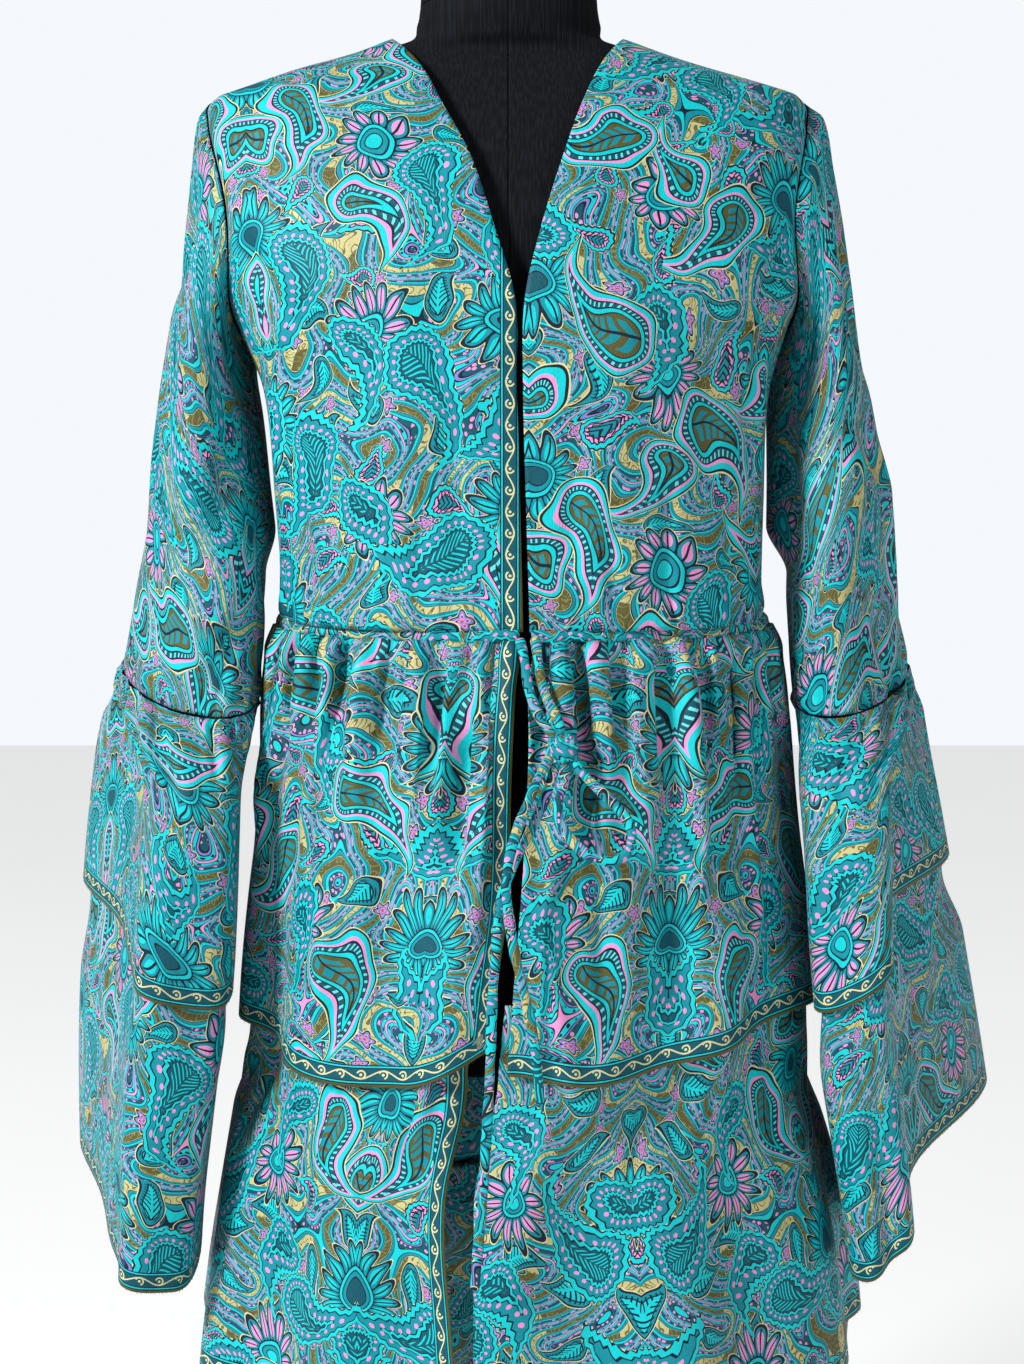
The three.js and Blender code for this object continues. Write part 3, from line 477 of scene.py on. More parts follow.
def bell_lower(side, way, phi, share):
    upper = sleeve_level(side, "upper", phi)
    lower = sleeve_level(side, "lower", phi)
    top = upper + BELL_OVERLAP
    z = mix(top, lower, share)
    overlap = BELL_OVERLAP / (top - lower)
    elbow = sleeve_level(side, "elbow", phi)
    above_share = np.clip((elbow - z) / (elbow - upper), 0, 1)
    out = bell_out(way, phi)

    def above(t):
        return bell_upper(side, way, t, above_share)

    inward = -CLOTH - RIM_GAP - BELL_TUCK * smooth(share, 0 * overlap, overlap)
    held = above(phi) + level_square(above, phi, out) * inward[..., None]
    held[..., 2] = z
    wave = bell_wave(phi, share, 2 * way + 1) - BELL_INSET
    free = bell_ring(side, way, phi, z) + out * wave[..., None]
    return mix(held, free, smooth(share, overlap, np.minimum(overlap * 3.2, 0.75))[..., None])


def bend(t, squareness):
    return np.sign(t) * np.abs(t) ** (2 / squareness)


def tier_ring(tier, u, z):
    """u from the right front edge round the back to the left front edge."""
    read = {name: sample(tier["rows"], "z", z, name) for name in SKIRT_COLUMNS[1:]}
    middle = (read["left"] + read["right"]) / 2
    half = (read["right"] - read["left"]) / 2
    start = np.arcsin((read["edgeR"] - middle) / half)
    end = TURN + np.arcsin((read["edgeL"] - middle) / half)
    turn = mix(start, end, u)
    depth = np.where(np.cos(turn) > 0, read["front"], read["back"])
    out = stack(np.sin(turn) / half, -np.cos(turn) / depth, 0 * turn)
    out /= np.linalg.norm(out, axis=-1, keepdims=True)
    point = stack(middle + half * bend(np.sin(turn), SKIRT_SQUARENESS),
                  -depth * bend(np.cos(turn), SKIRT_SQUARENESS), z)
    return point, out


def tier_point(tier, u, share):
    z = mix(tier["rows"]["z"][0], tier["rows"]["z"][-1], share)
    point, out = tier_ring(tier, u, z)
    if "hem" in tier:
        point[..., 2] -= sample(tier["hem"], "u", np.clip(u, 0, 1), "drop") * smooth(share, 0.5, 1)
    uneven = u + 0.011 * np.sin(6 * math.pi * u) + 0.006 * np.sin(14 * math.pi * u + 1)
    swell = 1 + 0.2 * np.sin(10 * math.pi * u + tier["folds"])
    ruffles = np.cos(TURN * tier["gathers"] * uneven) * (1 - smooth(share, 0.1, 0.7))
    folds = np.cos(TURN * tier["folds"] * uneven + tier["gathers"]) * smooth(share, 0.02, 1)
    wave = swell * (tier["gatherDepth"] * ruffles + tier["foldDepth"] * folds)
    return point + out * wave[..., None]


def hanging_point(tier, above, u, share):
    """A tier sewn inside the hem of the one above, which it follows down to that hem."""
    top, hem = tier["rows"]["z"][0], tier["rows"]["z"][-1]
    above_top, above_hem = above["rows"]["z"][0], above["rows"]["z"][-1]
    z = mix(top, hem, share)
    overlap = (top - above_hem) / (top - hem)
    above_share = np.clip((above_top - z) / (above_top - above_hem), 0, 1)
    out = tier_ring(above, u, mix(above_top, above_hem, above_share))[1]

    def above_curve(t):
        return tier_point(above, t, above_share)

    inward = -CLOTH - TIER_GAP - TIER_TUCK * smooth(share, 0, overlap)
    held = above_curve(u) + level_square(above_curve, u, out) * inward[..., None]
    held[..., 2] = z
    return mix(held, tier_point(tier, u, share), smooth(share, overlap, min(3 * overlap, 0.8))[..., None])


def form_ring(z, turn):
    read = {name: sample(FORM, "z", z, name) for name in ("middle", "half", "front", "back")}
    depth = np.where(np.cos(turn) > 0, read["front"], read["back"])
    return stack(read["middle"] + read["half"] * bend(np.sin(turn), FORM_SQUARENESS),
                 SHOULDER_Y - depth * bend(np.cos(turn), FORM_SQUARENESS), z)


# Meshes

def link(name, mesh):
    obj = bpy.data.objects.new(name, mesh)
    scene.collection.objects.link(obj)
    return obj


def grid_normals(points, closed):
    """Unit normals of a grid of points, all on one side of it."""
    if closed:
        across = np.roll(points, -1, axis=1) - np.roll(points, 1, axis=1)
    else:
        across = np.gradient(points, axis=1)
    normal = np.cross(across, np.gradient(points, axis=0))
    return normal / np.maximum(np.linalg.norm(normal, axis=-1, keepdims=True), 1e-9)


def run_lengths(points, axis, closed=False):
    """Length along the grid's lines up to each point, in millimetres."""
    if closed:
        points = np.concatenate([points, points[:, :1]], axis=1)
    steps = np.linalg.norm(np.diff(points, axis=axis), axis=-1)
    start = np.zeros_like(np.take(steps, [0], axis=axis))
    return np.concatenate([start, np.cumsum(steps, axis=axis)], axis=axis)


def grid_mesh(name, points, facing, closed=False, layers=None, capped=False):
    """A mesh on a grid of points in millimetres, facing the way that facing points."""
    rows, cols = points.shape[:2]
    i, j = np.meshgrid(np.arange(cols if closed else cols - 1), np.arange(rows - 1))
    i, j = i.ravel(), j.ravel()
    corners = [(j, i), (j, i + 1), (j + 1, i + 1), (j + 1, i)]
    turned = np.sum(grid_normals(points, closed) * facing) < 0
    if turned:
        corners = corners[::-1]
    mesh = bpy.data.meshes.new(name)
    index = np.stack([row * cols + col % cols for row, col in corners], axis=-1)
    first = list(range(cols))
    last = [(rows - 1) * cols + col for col in first]
    caps = ([first, last[::-1]] if turned else [first[::-1], last]) if capped else []
    mesh.from_pydata((points.reshape(-1, 3) * MM).tolist(), [], index.tolist() + caps)
    for layer, values in (layers or {}).items():
        flat = np.stack([values[row, col] for row, col in corners], axis=1).reshape(-1, 2)
        flat = np.concatenate([flat, flat[:1].repeat(sum(map(len, caps)), 0)]) if caps else flat
        mesh.uv_layers.new(name=layer).data.foreach_set("uv", (flat * MM).astype(np.float32).ravel())
    mesh.polygons.foreach_set("use_smooth", np.ones(len(mesh.polygons), bool))
    mesh.update()
    return link(name, mesh)


def along_line(line):
    """Length along a line up to each of its points."""
    return np.concatenate([[0], np.cumsum(np.linalg.norm(np.diff(line, axis=0), axis=-1))])


def grid(across, down):
    """Even shares across and down a piece."""
    return np.meshgrid(np.linspace(0, 1, across), np.linspace(0, 1, down))


def turns(across, down):
    """Even turns round a closed piece from its inner side, and shares down it."""
    return np.meshgrid(np.linspace(-math.pi, math.pi, across, endpoint=False), np.linspace(0, 1, down))


def centripetal(route, step=1.0):
    """A smooth line through a route's points, with a point about every step."""
    p = np.array(route, float)
    p = np.vstack([2 * p[0] - p[1], p, 2 * p[-1] - p[-2]])
    line = []
    for a, b, c, d in zip(p, p[1:], p[2:], p[3:]):
        ta = np.linalg.norm(b - a) ** 0.5
        tb = ta + np.linalg.norm(c - b) ** 0.5
        tc = tb + np.linalg.norm(d - c) ** 0.5
        count = max(2, int(round(np.linalg.norm(c - b) / step)))
        t = np.linspace(ta, tb, count, endpoint=False)[:, None]
        ab, bc, cd = mix(a, b, t / ta), mix(b, c, (t - ta) / (tb - ta)), mix(c, d, (t - tb) / (tc - tb))
        line.append(mix(mix(ab, bc, t / tb), mix(bc, cd, (t - ta) / (tc - ta)), (t - ta) / (tb - ta)))
    return np.vstack(line + [p[-2:-1]])


# Shader arithmetic

class Wire:
    """A value, vector or colour on its way between shader nodes, with the usual arithmetic."""

    def __init__(self, tree, socket):
        self.tree, self.socket = tree, socket

    def node(self, kind, *inputs, output=0, **settings):
        """A new node with this value on its first input."""
        return shader_node(self.tree, kind, self, *inputs, output=output, **settings)

    def math(self, operation, *others):
        return self.node("Math", *others, operation=operation)

    def vector(self, operation, *others, output=0):
        return self.node("VectorMath", *others, operation=operation, output=output)

    def __add__(self, other):
        return self.math("ADD", other)

    def __sub__(self, other):
        return self.math("SUBTRACT", other)

    def __rsub__(self, other):
        return shader_node(self.tree, "Math", other, self, operation="SUBTRACT")

    def __mul__(self, other):
        return self.math("MULTIPLY", other)

    def __gt__(self, other):
        return self.math("GREATER_THAN", other)

    def __lt__(self, other):
        return self.math("LESS_THAN", other)

    def __abs__(self):
        return self.math("ABSOLUTE")

    def fold(self, half):
        """The distance to the nearest multiple of twice half."""
        return self.math("PINGPONG", half)

    def parts(self):
        split = self.tree.nodes.new("ShaderNodeSeparateXYZ")
        self.tree.links.new(self.socket, split.inputs[0])
        return [Wire(self.tree, out) for out in split.outputs]

    def length(self):
        return self.vector("LENGTH", output=1)

    def turned(self, angle):
        """This vector, turned about z by an angle in radians."""
        return self.node("VectorRotate", None, None, angle, rotation_type="Z_AXIS")

    def into(self, node, name):
        """Links this value to a node's input."""
        self.tree.links.new(self.socket, node.inputs[name])


def shader_node(tree, kind, *inputs, output=0, **settings):
    node = tree.nodes.new("ShaderNode" + kind)
    for name, value in settings.items():
        setattr(node, name, value)
    for socket, value in zip(node.inputs, inputs):
        if isinstance(value, Wire):
            tree.links.new(value.socket, socket)
        elif value is not None:
            socket.default_value = value
    return Wire(tree, node.outputs[output])


def choose(share, low, high):
    """low where share is 0, high where it is 1, for numbers."""
    return share.node("Mix", None, low, high)


def over(base, share, top):
    """The colour top laid over base where share is 1."""
    return share.node("Mix", None, None, None, None, None, base, top, output=2, data_type="RGBA")


def tint(red, green, blue):
    """A colour given in ordinary 8-bit screen values, as the shader wants it."""
    scaled = [c / 255 for c in (red, green, blue)]
    return tuple(c / 12.92 if c <= 0.04045 else ((c + 0.055) / 1.055) ** 2.4 for c in scaled) + (1.0,)


BRIGHT = tint(0, 190, 196)
TEAL = tint(0, 132, 146)
DEEP = tint(2, 76, 90)
NAVY = tint(10, 26, 44)
PINK = tint(222, 142, 194)
MAUVE = tint(122, 120, 184)
OLIVE = tint(84, 82, 42)
CREAM = tint(204, 200, 150)
MIST = tint(96, 208, 210)
SHADE = tint(100, 96, 54)
KHAKI = tint(118, 116, 66)
SAND = tint(184, 178, 124)


def bands(value, span, stops):
    """Flat bands of colour by a value in millimetres; each stop is where a colour starts."""
    node = value.tree.nodes.new("ShaderNodeValToRGB")
    ramp = node.color_ramp
    ramp.interpolation = "CONSTANT"
    while len(ramp.elements) < len(stops):
        ramp.elements.new(1.0)
    for element, (start, colour) in zip(ramp.elements, stops):
        element.position = start / span
        element.color = colour
    (value * (1 / span)).into(node, 0)
    return Wire(value.tree, node.outputs[0])


def cells(place, size, shift=(0, 0)):
    """Place inside its own cell, from the cell's middle, and three numbers drawn for the cell.

    Every other column of cells is half a cell lower.
    """
    tree = place.tree
    scaled = place.vector("MULTIPLY_ADD", (1 / size[0], 1 / size[1], 0), (shift[0], shift[1], 0.5))
    column = scaled.parts()[0].math("FLOOR").fold(1.0)
    scaled = scaled.vector("ADD", shader_node(tree, "CombineXYZ", 0.0, column * 0.5))
    cell = scaled.vector("FLOOR")
    local = scaled.vector("FRACTION").vector("MULTIPLY_ADD", (size[0], size[1], 0),
                                             (-size[0] / 2, -size[1] / 2, 0))
    drawn = cell.node("TexWhiteNoise", output=1, noise_dimensions="3D")
    return local, drawn.parts()


def drop(place, radius, length, curl):
    """Depth inside a curled drop, the way along its outline, and the place uncurled.

    The way starts where the drop's tail does. All are in millimetres.
    """
    far = place.length()
    place = place.turned(far * curl)
    x, y, _ = place.parts()
    wide = abs(x)
    lean = radius / length
    rest = math.sqrt(1 - lean * lean)
    tail = y * rest - wide * lean
    on_tail = tail > 0
    depth = radius - choose(on_tail, far, wide * rest + y * lean)
    angle = wide.math("ARCTAN2", y)
    along = choose(on_tail, (math.atan2(rest, lean) - angle) * radius, tail)
    return depth, along, wide, y


def dots(depth, along, at, spacing, size):
    """Round spots in a row at a depth: 1 inside them."""
    return (depth - at).node("CombineXYZ", spacing / 2 - along.fold(spacing / 2)).length() < size


def lines(value, period, width):
    """1 on even lines of a width, a period apart."""
    return value.fold(period / 2) < width / 2


def noise(place, size, detail=0.0, output=0, seed=0.0):
    node = place.tree.nodes.new("ShaderNodeTexNoise")
    node.noise_dimensions = "2D"
    place.vector("ADD", (seed * size, seed * size, 0)).into(node, "Vector")
    node.inputs["Scale"].default_value = 1 / size
    node.inputs["Detail"].default_value = detail
    return Wire(place.tree, node.outputs[output])


SPOT_RANDOMNESS = 0.6


def spots(place, size, share):
    """Scattered round spots: 1 inside them."""
    node = place.tree.nodes.new("ShaderNodeTexVoronoi")
    node.voronoi_dimensions = "2D"
    place.into(node, "Vector")
    node.inputs["Scale"].default_value = 1 / size
    node.inputs["Randomness"].default_value = SPOT_RANDOMNESS
    return Wire(place.tree, node.outputs[0]) < share


def flat_place(tree, layer="UVMap"):
    """The place in a UV layer, in millimetres."""
    uv = tree.nodes.new("ShaderNodeUVMap")
    uv.uv_map = layer
    return Wire(tree, uv.outputs[0]).vector("MULTIPLY", (1000, 1000, 0))


# The print's repeat and cells, in millimetres, and the range of a motif's random turn

MIRROR = 172.0
FLOWER_CELL = (21.5, 19)
LEAF_CELL = (43, 39)
FAN_CELL = (MIRROR, 118)
DROP_CELL = (86, 96)
LARGE_DROP_CELL = (86, 118)
ANY_TURN = 6.28


def printed_colour(tree):
    """The robe's print: curled drops, fans and small flowers over scrolled ribbons.

    The ground is olive, and all is mirrored left to right. The layout is the model's own.
    """
    x, y, _ = flat_place(tree).parts()
    place = x.fold(MIRROR).node("CombineXYZ", y)
    wobble = noise(place, 30, output=1)
    place = place.vector("ADD", wobble.vector("MULTIPLY_ADD", (16, 16, 0), (-8, -8, 0)))

    # Ground: olive, with patches of fine scrollwork on cream
    patch = noise(place, 38, seed=3) > 0.54
    curls = (noise(place, 5.2, seed=8) * 3.2).fold(0.5) < 0.13
    ground = over(over(OLIVE, patch, SAND), curls * patch, SHADE)
    ground = over(ground, curls * (1 - patch), KHAKI)

    # Ribbons that flow round the ground's patches
    rib = ((noise(place, 62, seed=11) - 0.5) * 430).fold(33.0)
    ribbon = bands(rib, 40, [
        (0, PINK), (1.2, NAVY), (2.2, BRIGHT), (6.0, NAVY), (7.0, MAUVE), (8.2, NAVY), (9.2, DEEP),
        (14.0, NAVY), (15.0, BRIGHT), (19.0, NAVY), (20.0, TEAL), (24.2, NAVY), (25.4, CREAM),
        (26.0, OLIVE)])
    speckle = spots(place, 4.2, 0.27)
    ribbon = over(ribbon, speckle * (abs(rib - 11.3) < 2.2), PINK)
    ribbon = over(ribbon, speckle * (abs(rib - 4.0) < 1.3), NAVY)
    colour = over(ground, rib < 26, ribbon)

    # Small five-petalled flowers
    near, draw = cells(place, FLOWER_CELL, (0, 0.3))
    nx, ny, _ = near.parts()
    petals = (ny.math("ARCTAN2", nx) * 5 + draw[0] * 6).math("COSINE")
    flower = (petals * 1.2 + 4.9) - near.length()
    colour = over(colour, (flower > -0.5) * (draw[1] > 0.72), bands(flower + 1, 8, [
        (0, CREAM), (1, NAVY), (1.9, MAUVE), (3.4, PINK), (4.2, NAVY), (5.0, PINK), (6.0, NAVY)]))

    # Small drops and leaves
    near, draw = cells(place, LEAF_CELL, (0.5, 0))
    near = near.turned(draw[0] * ANY_TURN)
    depth, along, wide, high = drop(near, 9.0, 26.0, 0.028)
    scallop = depth + along.fold(2.1) * 0.4
    leaf = over(bands(scallop + 1, 12, [
        (0, CREAM), (1, NAVY), (2.0, BRIGHT), (3.9, NAVY), (4.7, PINK), (6.2, NAVY), (6.9, TEAL)]),
        lines(high + wide * 0.9, 2.8, 1.1) * (depth > 3.2), NAVY)
    other = over(bands(depth + 1, 12, [
        (0, CREAM), (1, NAVY), (2.0, TEAL), (4.0, NAVY), (4.7, BRIGHT)]),
        lines(high - wide * 0.9, 3.0, 1.1) * (depth > 2) * (wide > 0.7), NAVY)
    colour = over(colour, depth > -0.5, over(leaf, draw[1] > 0.42, other))

    # Fans of long petals
    near, draw = cells(place, FAN_CELL, (0.5, 0.1))
    colour = fan(colour, near.turned(draw[0] * ANY_TURN), 29.0, 16, BRIGHT, TEAL, DEEP)
    near, draw = cells(place, FAN_CELL, (0.0, 0.6))
    colour = fan(colour, near.turned(draw[1] * ANY_TURN), 25.0, 12, PINK, TEAL, BRIGHT)

    # Large curled drops, in two layers
    near, draw = cells(place, DROP_CELL, (0.5, 0.85))
    colour = large_drop(colour, near, draw, 17.0, 56.0, 0.02)
    near, draw = cells(place, LARGE_DROP_CELL, (0, 0.35))
    return large_drop(colour, near, draw, 22.0, 68.0, 0.0155)


def large_drop(base, near, draw, radius, length, curl):
    """A large curled drop, of one kind or another by its cell, laid over a base colour."""
    near = near.turned(draw[0].math("MULTIPLY_ADD", 3.6, 1.4))
    near = near.vector("ADD", (0, radius * 0.66, 0))
    depth, along, wide, high = drop(near, radius, length, curl)
    scallop = depth + along.fold(3.2) * 0.55
    first = bands(scallop + 1, 30, [
        (0, CREAM), (1, NAVY), (2.1, BRIGHT), (4.8, NAVY), (5.7, TEAL), (10.6, NAVY), (11.4, BRIGHT),
        (13.2, NAVY), (14.0, DEEP)])
    first = over(first, dots(depth, along, 7.3, 6.4, 1.35), PINK)
    first = over(first, lines(high + wide * 1.2, 3.6, 1.3) * (depth > 13.4) * (wide > 0.5), BRIGHT)
    second = bands(depth + 1, 30, [
        (0, CREAM), (1, NAVY), (2.0, BRIGHT), (4.6, PINK), (6.2, NAVY), (7.0, DEEP), (9.6, NAVY),
        (10.2, BRIGHT), (12.2, NAVY), (13.0, OLIVE)])
    second = over(second, lines(along, 4.4, 1.6) * (abs(depth - 7.2) < 1.1), MIST)
    veins = lines(high - wide * 0.8, 7.0, 4.2) * (wide < radius * 0.32)
    second = over(second, veins * (depth > 12.8), TEAL)
    second = over(second, (wide < 0.7) * (depth > 12.0), NAVY)
    return over(base, depth > -0.6, over(first, draw[1] > 0.5, second))


def fan(base, place, reach, count, petal, edge, heart):
    """Long petals round a banded middle, laid over a base colour."""
    x, y, _ = place.parts()
    far = place.length()
    step = TURN / count
    turn = y.math("ARCTAN2", x) + 20 * step
    aside = turn.math("MODULO", step) - step / 2
    across = abs(aside * far)
    middle = reach * 0.66
    oval = ((far - middle) * (1 / (reach * 0.36))).node(
        "CombineXYZ", across * (2.15 / (step * middle))).length()
    inside = (1 - oval) * 4.0
    petals = bands(inside + 1, 6, [(0, CREAM), (0.6, NAVY), (1.6, edge), (2.7, petal)])
    petals = over(petals, (across < 0.45) * (inside > 0.9), NAVY)
    colour = over(base, inside > -0.7, petals)
    hub = reach * 0.42
    return over(colour, far < hub, bands(hub - far, hub, [
        (0, NAVY), (0.9, BRIGHT), (2.6, NAVY), (3.4, edge), (5.6, NAVY), (6.3, heart)]))


# Materials

def material(name, roughness, sheen=0.0, sheen_roughness=0.4, specular=0.4):
    made = bpy.data.materials.new(name)
    made.use_nodes = True
    shader = made.node_tree.nodes["Principled BSDF"]
    shader.inputs["Roughness"].default_value = roughness
    shader.inputs["Sheen Weight"].default_value = sheen
    shader.inputs["Sheen Roughness"].default_value = sheen_roughness
    shader.inputs["Specular IOR Level"].default_value = specular
    return made, made.node_tree, shader


SCROLL = 13.0
BORDER_HEIGHT = 13.8


def with_border(colour):
    """A woven-look border along hems and the left front edge: lines and a running scroll."""
    run, edge, _ = flat_place(colour.tree, "Border").parts()
    strip = bands(edge, 16, [
        (0, OLIVE), (1.7, NAVY), (2.5, BRIGHT), (3.3, NAVY), (4.0, DEEP), (11.4, NAVY), (12.1, BRIGHT),
        (13.0, NAVY)])
    aside = (run + 100 * SCROLL).math("MODULO", SCROLL) - SCROLL / 2
    level = edge - 7.7
    stem = abs(level - (run * (math.pi / SCROLL)).math("SINE") * 2.4) < 0.5
    ring = aside.node("CombineXYZ", level).length()
    curl = (abs(ring - 2.5) < 0.5) * (aside + level > -1.4)
    petal = ring < 0.9
    marks = stem.math("MAXIMUM", curl).math("MAXIMUM", petal) * (edge > 4.0) * (edge < 11.4)
    return over(colour, edge < BORDER_HEIGHT, over(strip, marks, CREAM))


def relief(shader, height, distance, strength=1.0):
    """A bump of a height times a distance in metres."""
    bump = height.tree.nodes.new("ShaderNodeBump")
    bump.inputs["Strength"].default_value = strength
    bump.inputs["Distance"].default_value = distance
    height.into(bump, "Height")
    Wire(height.tree, bump.outputs[0]).into(shader, "Normal")


def object_place(tree, per_metre=1000):
    """The place on the object itself, in millimetres or another share of a metre."""
    spot = Wire(tree, tree.nodes.new("ShaderNodeTexCoord").outputs["Object"])
    return spot.vector("MULTIPLY", (per_metre, per_metre, per_metre))


cloth_look, tree, shader = material("print", roughness=0.6, sheen=0.03, specular=0.2)
colour = with_border(printed_colour(tree))
flat = flat_place(tree)
# Low-frequency noise darkens the print in soft blotches, to between 0.76 and 1 of its colour: painted
# shade that stands in for the uneven sheen and shade of small wrinkles.
uneven = noise(flat, 45, detail=1, seed=5).math("MULTIPLY_ADD", 0.24, 0.76)
colour = colour.vector("MULTIPLY", uneven.node("CombineXYZ", uneven, uneven))
colour.into(shader, "Base Color")
grain = noise(flat.vector("MULTIPLY", (1, 0.55, 1)), 0.9, seed=1)
relief(shader, grain * 0.22 + noise(flat, 11, detail=2, seed=2), 0.0011, 0.75)

fray_look, tree, shader = material("fray", roughness=0.9, specular=0.1)
thread = bands(noise(object_place(tree), 4), 1, [
    (0, tint(70, 72, 44)), (0.42, tint(104, 106, 72)), (0.6, tint(60, 84, 76))])
thread.into(shader, "Base Color")

form_look, tree, shader = material("jersey", roughness=0.92, specular=0.12)
spot = object_place(tree)
side_to_side, to_back, up = spot.parts()
knit = noise(spot.vector("MULTIPLY", (1, 0.3, 1)), 1.3, detail=1)
dark = bands(knit, 1, [(0, tint(8, 10, 14)), (0.46, tint(12, 15, 20)), (0.58, tint(17, 20, 25))])
dark.into(shader, "Base Color")
seam = (1.0 - abs(side_to_side) * 0.9).math("MAXIMUM", 0.0) * (to_back < 0)
ribs = up.fold(1.9) * 0.4 * (up > NECK_BLOCK_Z + 1)
relief(shader, knit * 0.5 + ribs - seam * 1.5, 0.0008)

metal_look, tree, shader = material("metal", roughness=0.38, specular=0.5)
grain = object_place(tree, 1).node("TexNoise", None, 90.0, 4.0)
tone = bands(grain, 1, [(0, tint(38, 39, 41)), (0.45, tint(44, 45, 47)), (0.6, tint(50, 51, 54))])
tone.into(shader, "Base Color")
shader.inputs["Metallic"].default_value = 0.7
relief(shader, grain, 0.0003)


# Folds

rng = np.random.default_rng(21)


def fold_line(flat, row):
    """One soft fold on the flat cloth: from (x, y) to (x, y), its half width, height and bow.

    All are in millimetres. A negative height is a trough.
    """
    start, end, (width, height, bow) = np.array(row[0:2]), np.array(row[2:4]), row[4:7]
    way = end - start
    span = np.linalg.norm(way)
    way = way / span
    t = (flat - start) @ way / span
    aside = (flat - start) @ np.array([-way[1], way[0]]) - bow * 4 * t * (1 - t)
    taper = smooth(t, -0.1, 0.22) * (1 - smooth(t, 0.6, 1.08))
    return height * taper * np.exp(-(aside / width) ** 2)


# Gathers are troughs and ridges: the troughs' share of them, and both kinds' widths and heights
TROUGH_SHARE = 0.55
TROUGH = {"width": 0.62, "height": -1}
RIDGE = {"width": 1.15, "height": 0.75}
GATHER_LEAN = 0.09
SEAM_TAPER = 5


def gathers(flat, edge, direction, low, high, count, widths, heights, reaches, round_length=0):
    """Uneven short folds that run off a gathered seam into the cloth, along y from the edge."""
    from_edge = (flat[..., 1] - edge) * direction
    total = np.zeros(flat.shape[:2])
    for place in np.sort(rng.uniform(low, high, count)):
        kind = TROUGH if rng.uniform() < TROUGH_SHARE else RIDGE
        width = rng.uniform(*widths) * kind["width"]
        height = rng.uniform(*heights) * kind["height"]
        reach = rng.uniform(*reaches) * rng.uniform(0.4, 1)
        lean = rng.uniform(-GATHER_LEAN, GATHER_LEAN)
        aside = flat[..., 0] - place - lean * from_edge
        if round_length:
            aside = (aside + round_length / 2) % round_length - round_length / 2
        spread = width * (1 + 0.9 * np.clip(from_edge / reach, 0, 1))
        taper = smooth(from_edge, 0, SEAM_TAPER) * (1 - smooth(from_edge, reach * 0.15, reach))
        total += height * taper * (rise(aside, 0, spread) - 0.35 * rise(aside, 0, 2 * spread))
    return total


SWELL_WAVES = 7


def swells(flat, size, height, seed):
    """Slow uneven swells of the cloth."""
    draw = np.random.default_rng(seed)
    total = np.zeros(flat.shape[:2])
    for _ in range(SWELL_WAVES):
        angle, phase, share = draw.uniform(-0.5, 0.5), draw.uniform(0, TURN), draw.uniform(0.7, 1.6)
        along = flat[..., 0] * math.cos(angle) + flat[..., 1] * math.sin(angle) * 0.5
        total += np.sin(along * TURN / (size * share) + phase)
    return total * height / SWELL_WAVES ** 0.5


def raised(points, facing, height, closed=False):
    """The grid moved along its own facing by a height at each point."""
    normal = grid_normals(points, closed)
    way = np.sign(np.sum(normal * facing, axis=-1, keepdims=True))
    return points + normal * way * height[..., None]


# Pieces

def finish_piece(obj, look, slot, *nodes):
    obj.data.materials.append(look)
    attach(obj, "root")
    if nodes:
        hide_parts(*nodes)
    return obj


THICK = 0.0007
NO_BORDER = 900.0
FRAY_STEP = 1.1
FRAY_WIDTH = 0.22
FRAY_ENDS = 0.6
FRAY_TIPS = ((-0.9, -0.9, -1.9), (0.9, 0.9, -0.7))


def shelled(obj):
    """Gives a sheet of cloth its thickness, in metres."""
    shell = obj.modifiers.new("thickness", "SOLIDIFY")
    shell.thickness = THICK
    shell.offset = 0


def cloth_layers(uv, border=None):
    """The print's place, and the run along a border and distance from its edge."""
    if border is None:
        border = (uv[..., 0], NO_BORDER)
    return {"UVMap": uv, "Border": np.stack(np.broadcast_arrays(*border), axis=-1)}


def cloth_piece(name, points, facing, across, down, node, shift=(0, 0), border=None, closed=False,
                hem=False):
    """A thin cloth shell on its solid's form. across and down place each point on the flat cloth."""
    uv = np.stack([across + shift[0], shift[1] - down], axis=-1)
    obj = grid_mesh(name, points, facing, closed, cloth_layers(uv, border))
    shelled(obj)
    finish_piece(obj, cloth_look, "cloth", node)
    trim = []
    if hem:
        low_edge = np.concatenate([points[-1], points[-1, :1]]) if closed else points[-1]
        trim = [frayed(name.replace("_cloth", "_fray"), low_edge, len(name) + int(shift[0]))]
    return obj


def frayed(name, edge, seed):
    """The overlocked raw edge under a hem: short olive threads, each a thin closed spike."""
    draw = np.random.default_rng(seed)
    run = along_line(edge)
    at = np.arange(FRAY_ENDS, run[-1] - FRAY_ENDS, FRAY_STEP)
    at = at + draw.uniform(-0.4, 0.4, len(at))
    root = np.stack([np.interp(at, run, edge[:, k]) for k in range(3)], -1)
    tip = root + draw.uniform(*FRAY_TIPS, root.shape)
    spread = FRAY_WIDTH * np.array([[1, 0, 0.4], [-0.5, 0.87, 0.4], [-0.5, -0.87, 0.4]])
    verts = np.concatenate([root[:, None] + spread[None], tip[:, None]], 1)
    faces = [(0, 1, 3), (1, 2, 3), (2, 0, 3), (0, 2, 1)]
    mesh = bpy.data.meshes.new(name)
    mesh.from_pydata((verts.reshape(-1, 3) * MM).tolist(), [],
                     [tuple(4 * k + c for c in face) for k in range(len(root)) for face in faces])
    return finish_piece(link(name, mesh), fray_look, "cloth")


def placed(points, flat, rows):
    """Fold rows given by x and height on the robe, found on the flat cloth."""
    found = []
    for x0, z0, x1, z1, *rest in rows:
        ends = []
        for x, z in ((x0, z0), (x1, z1)):
            away = (points[..., 0] - x) ** 2 + (points[..., 2] - z) ** 2 + (points[..., 1] > 0) * 1e6
            ends += list(flat[np.unravel_index(np.argmin(away), away.shape)])
        found.append(ends + rest)
    return found
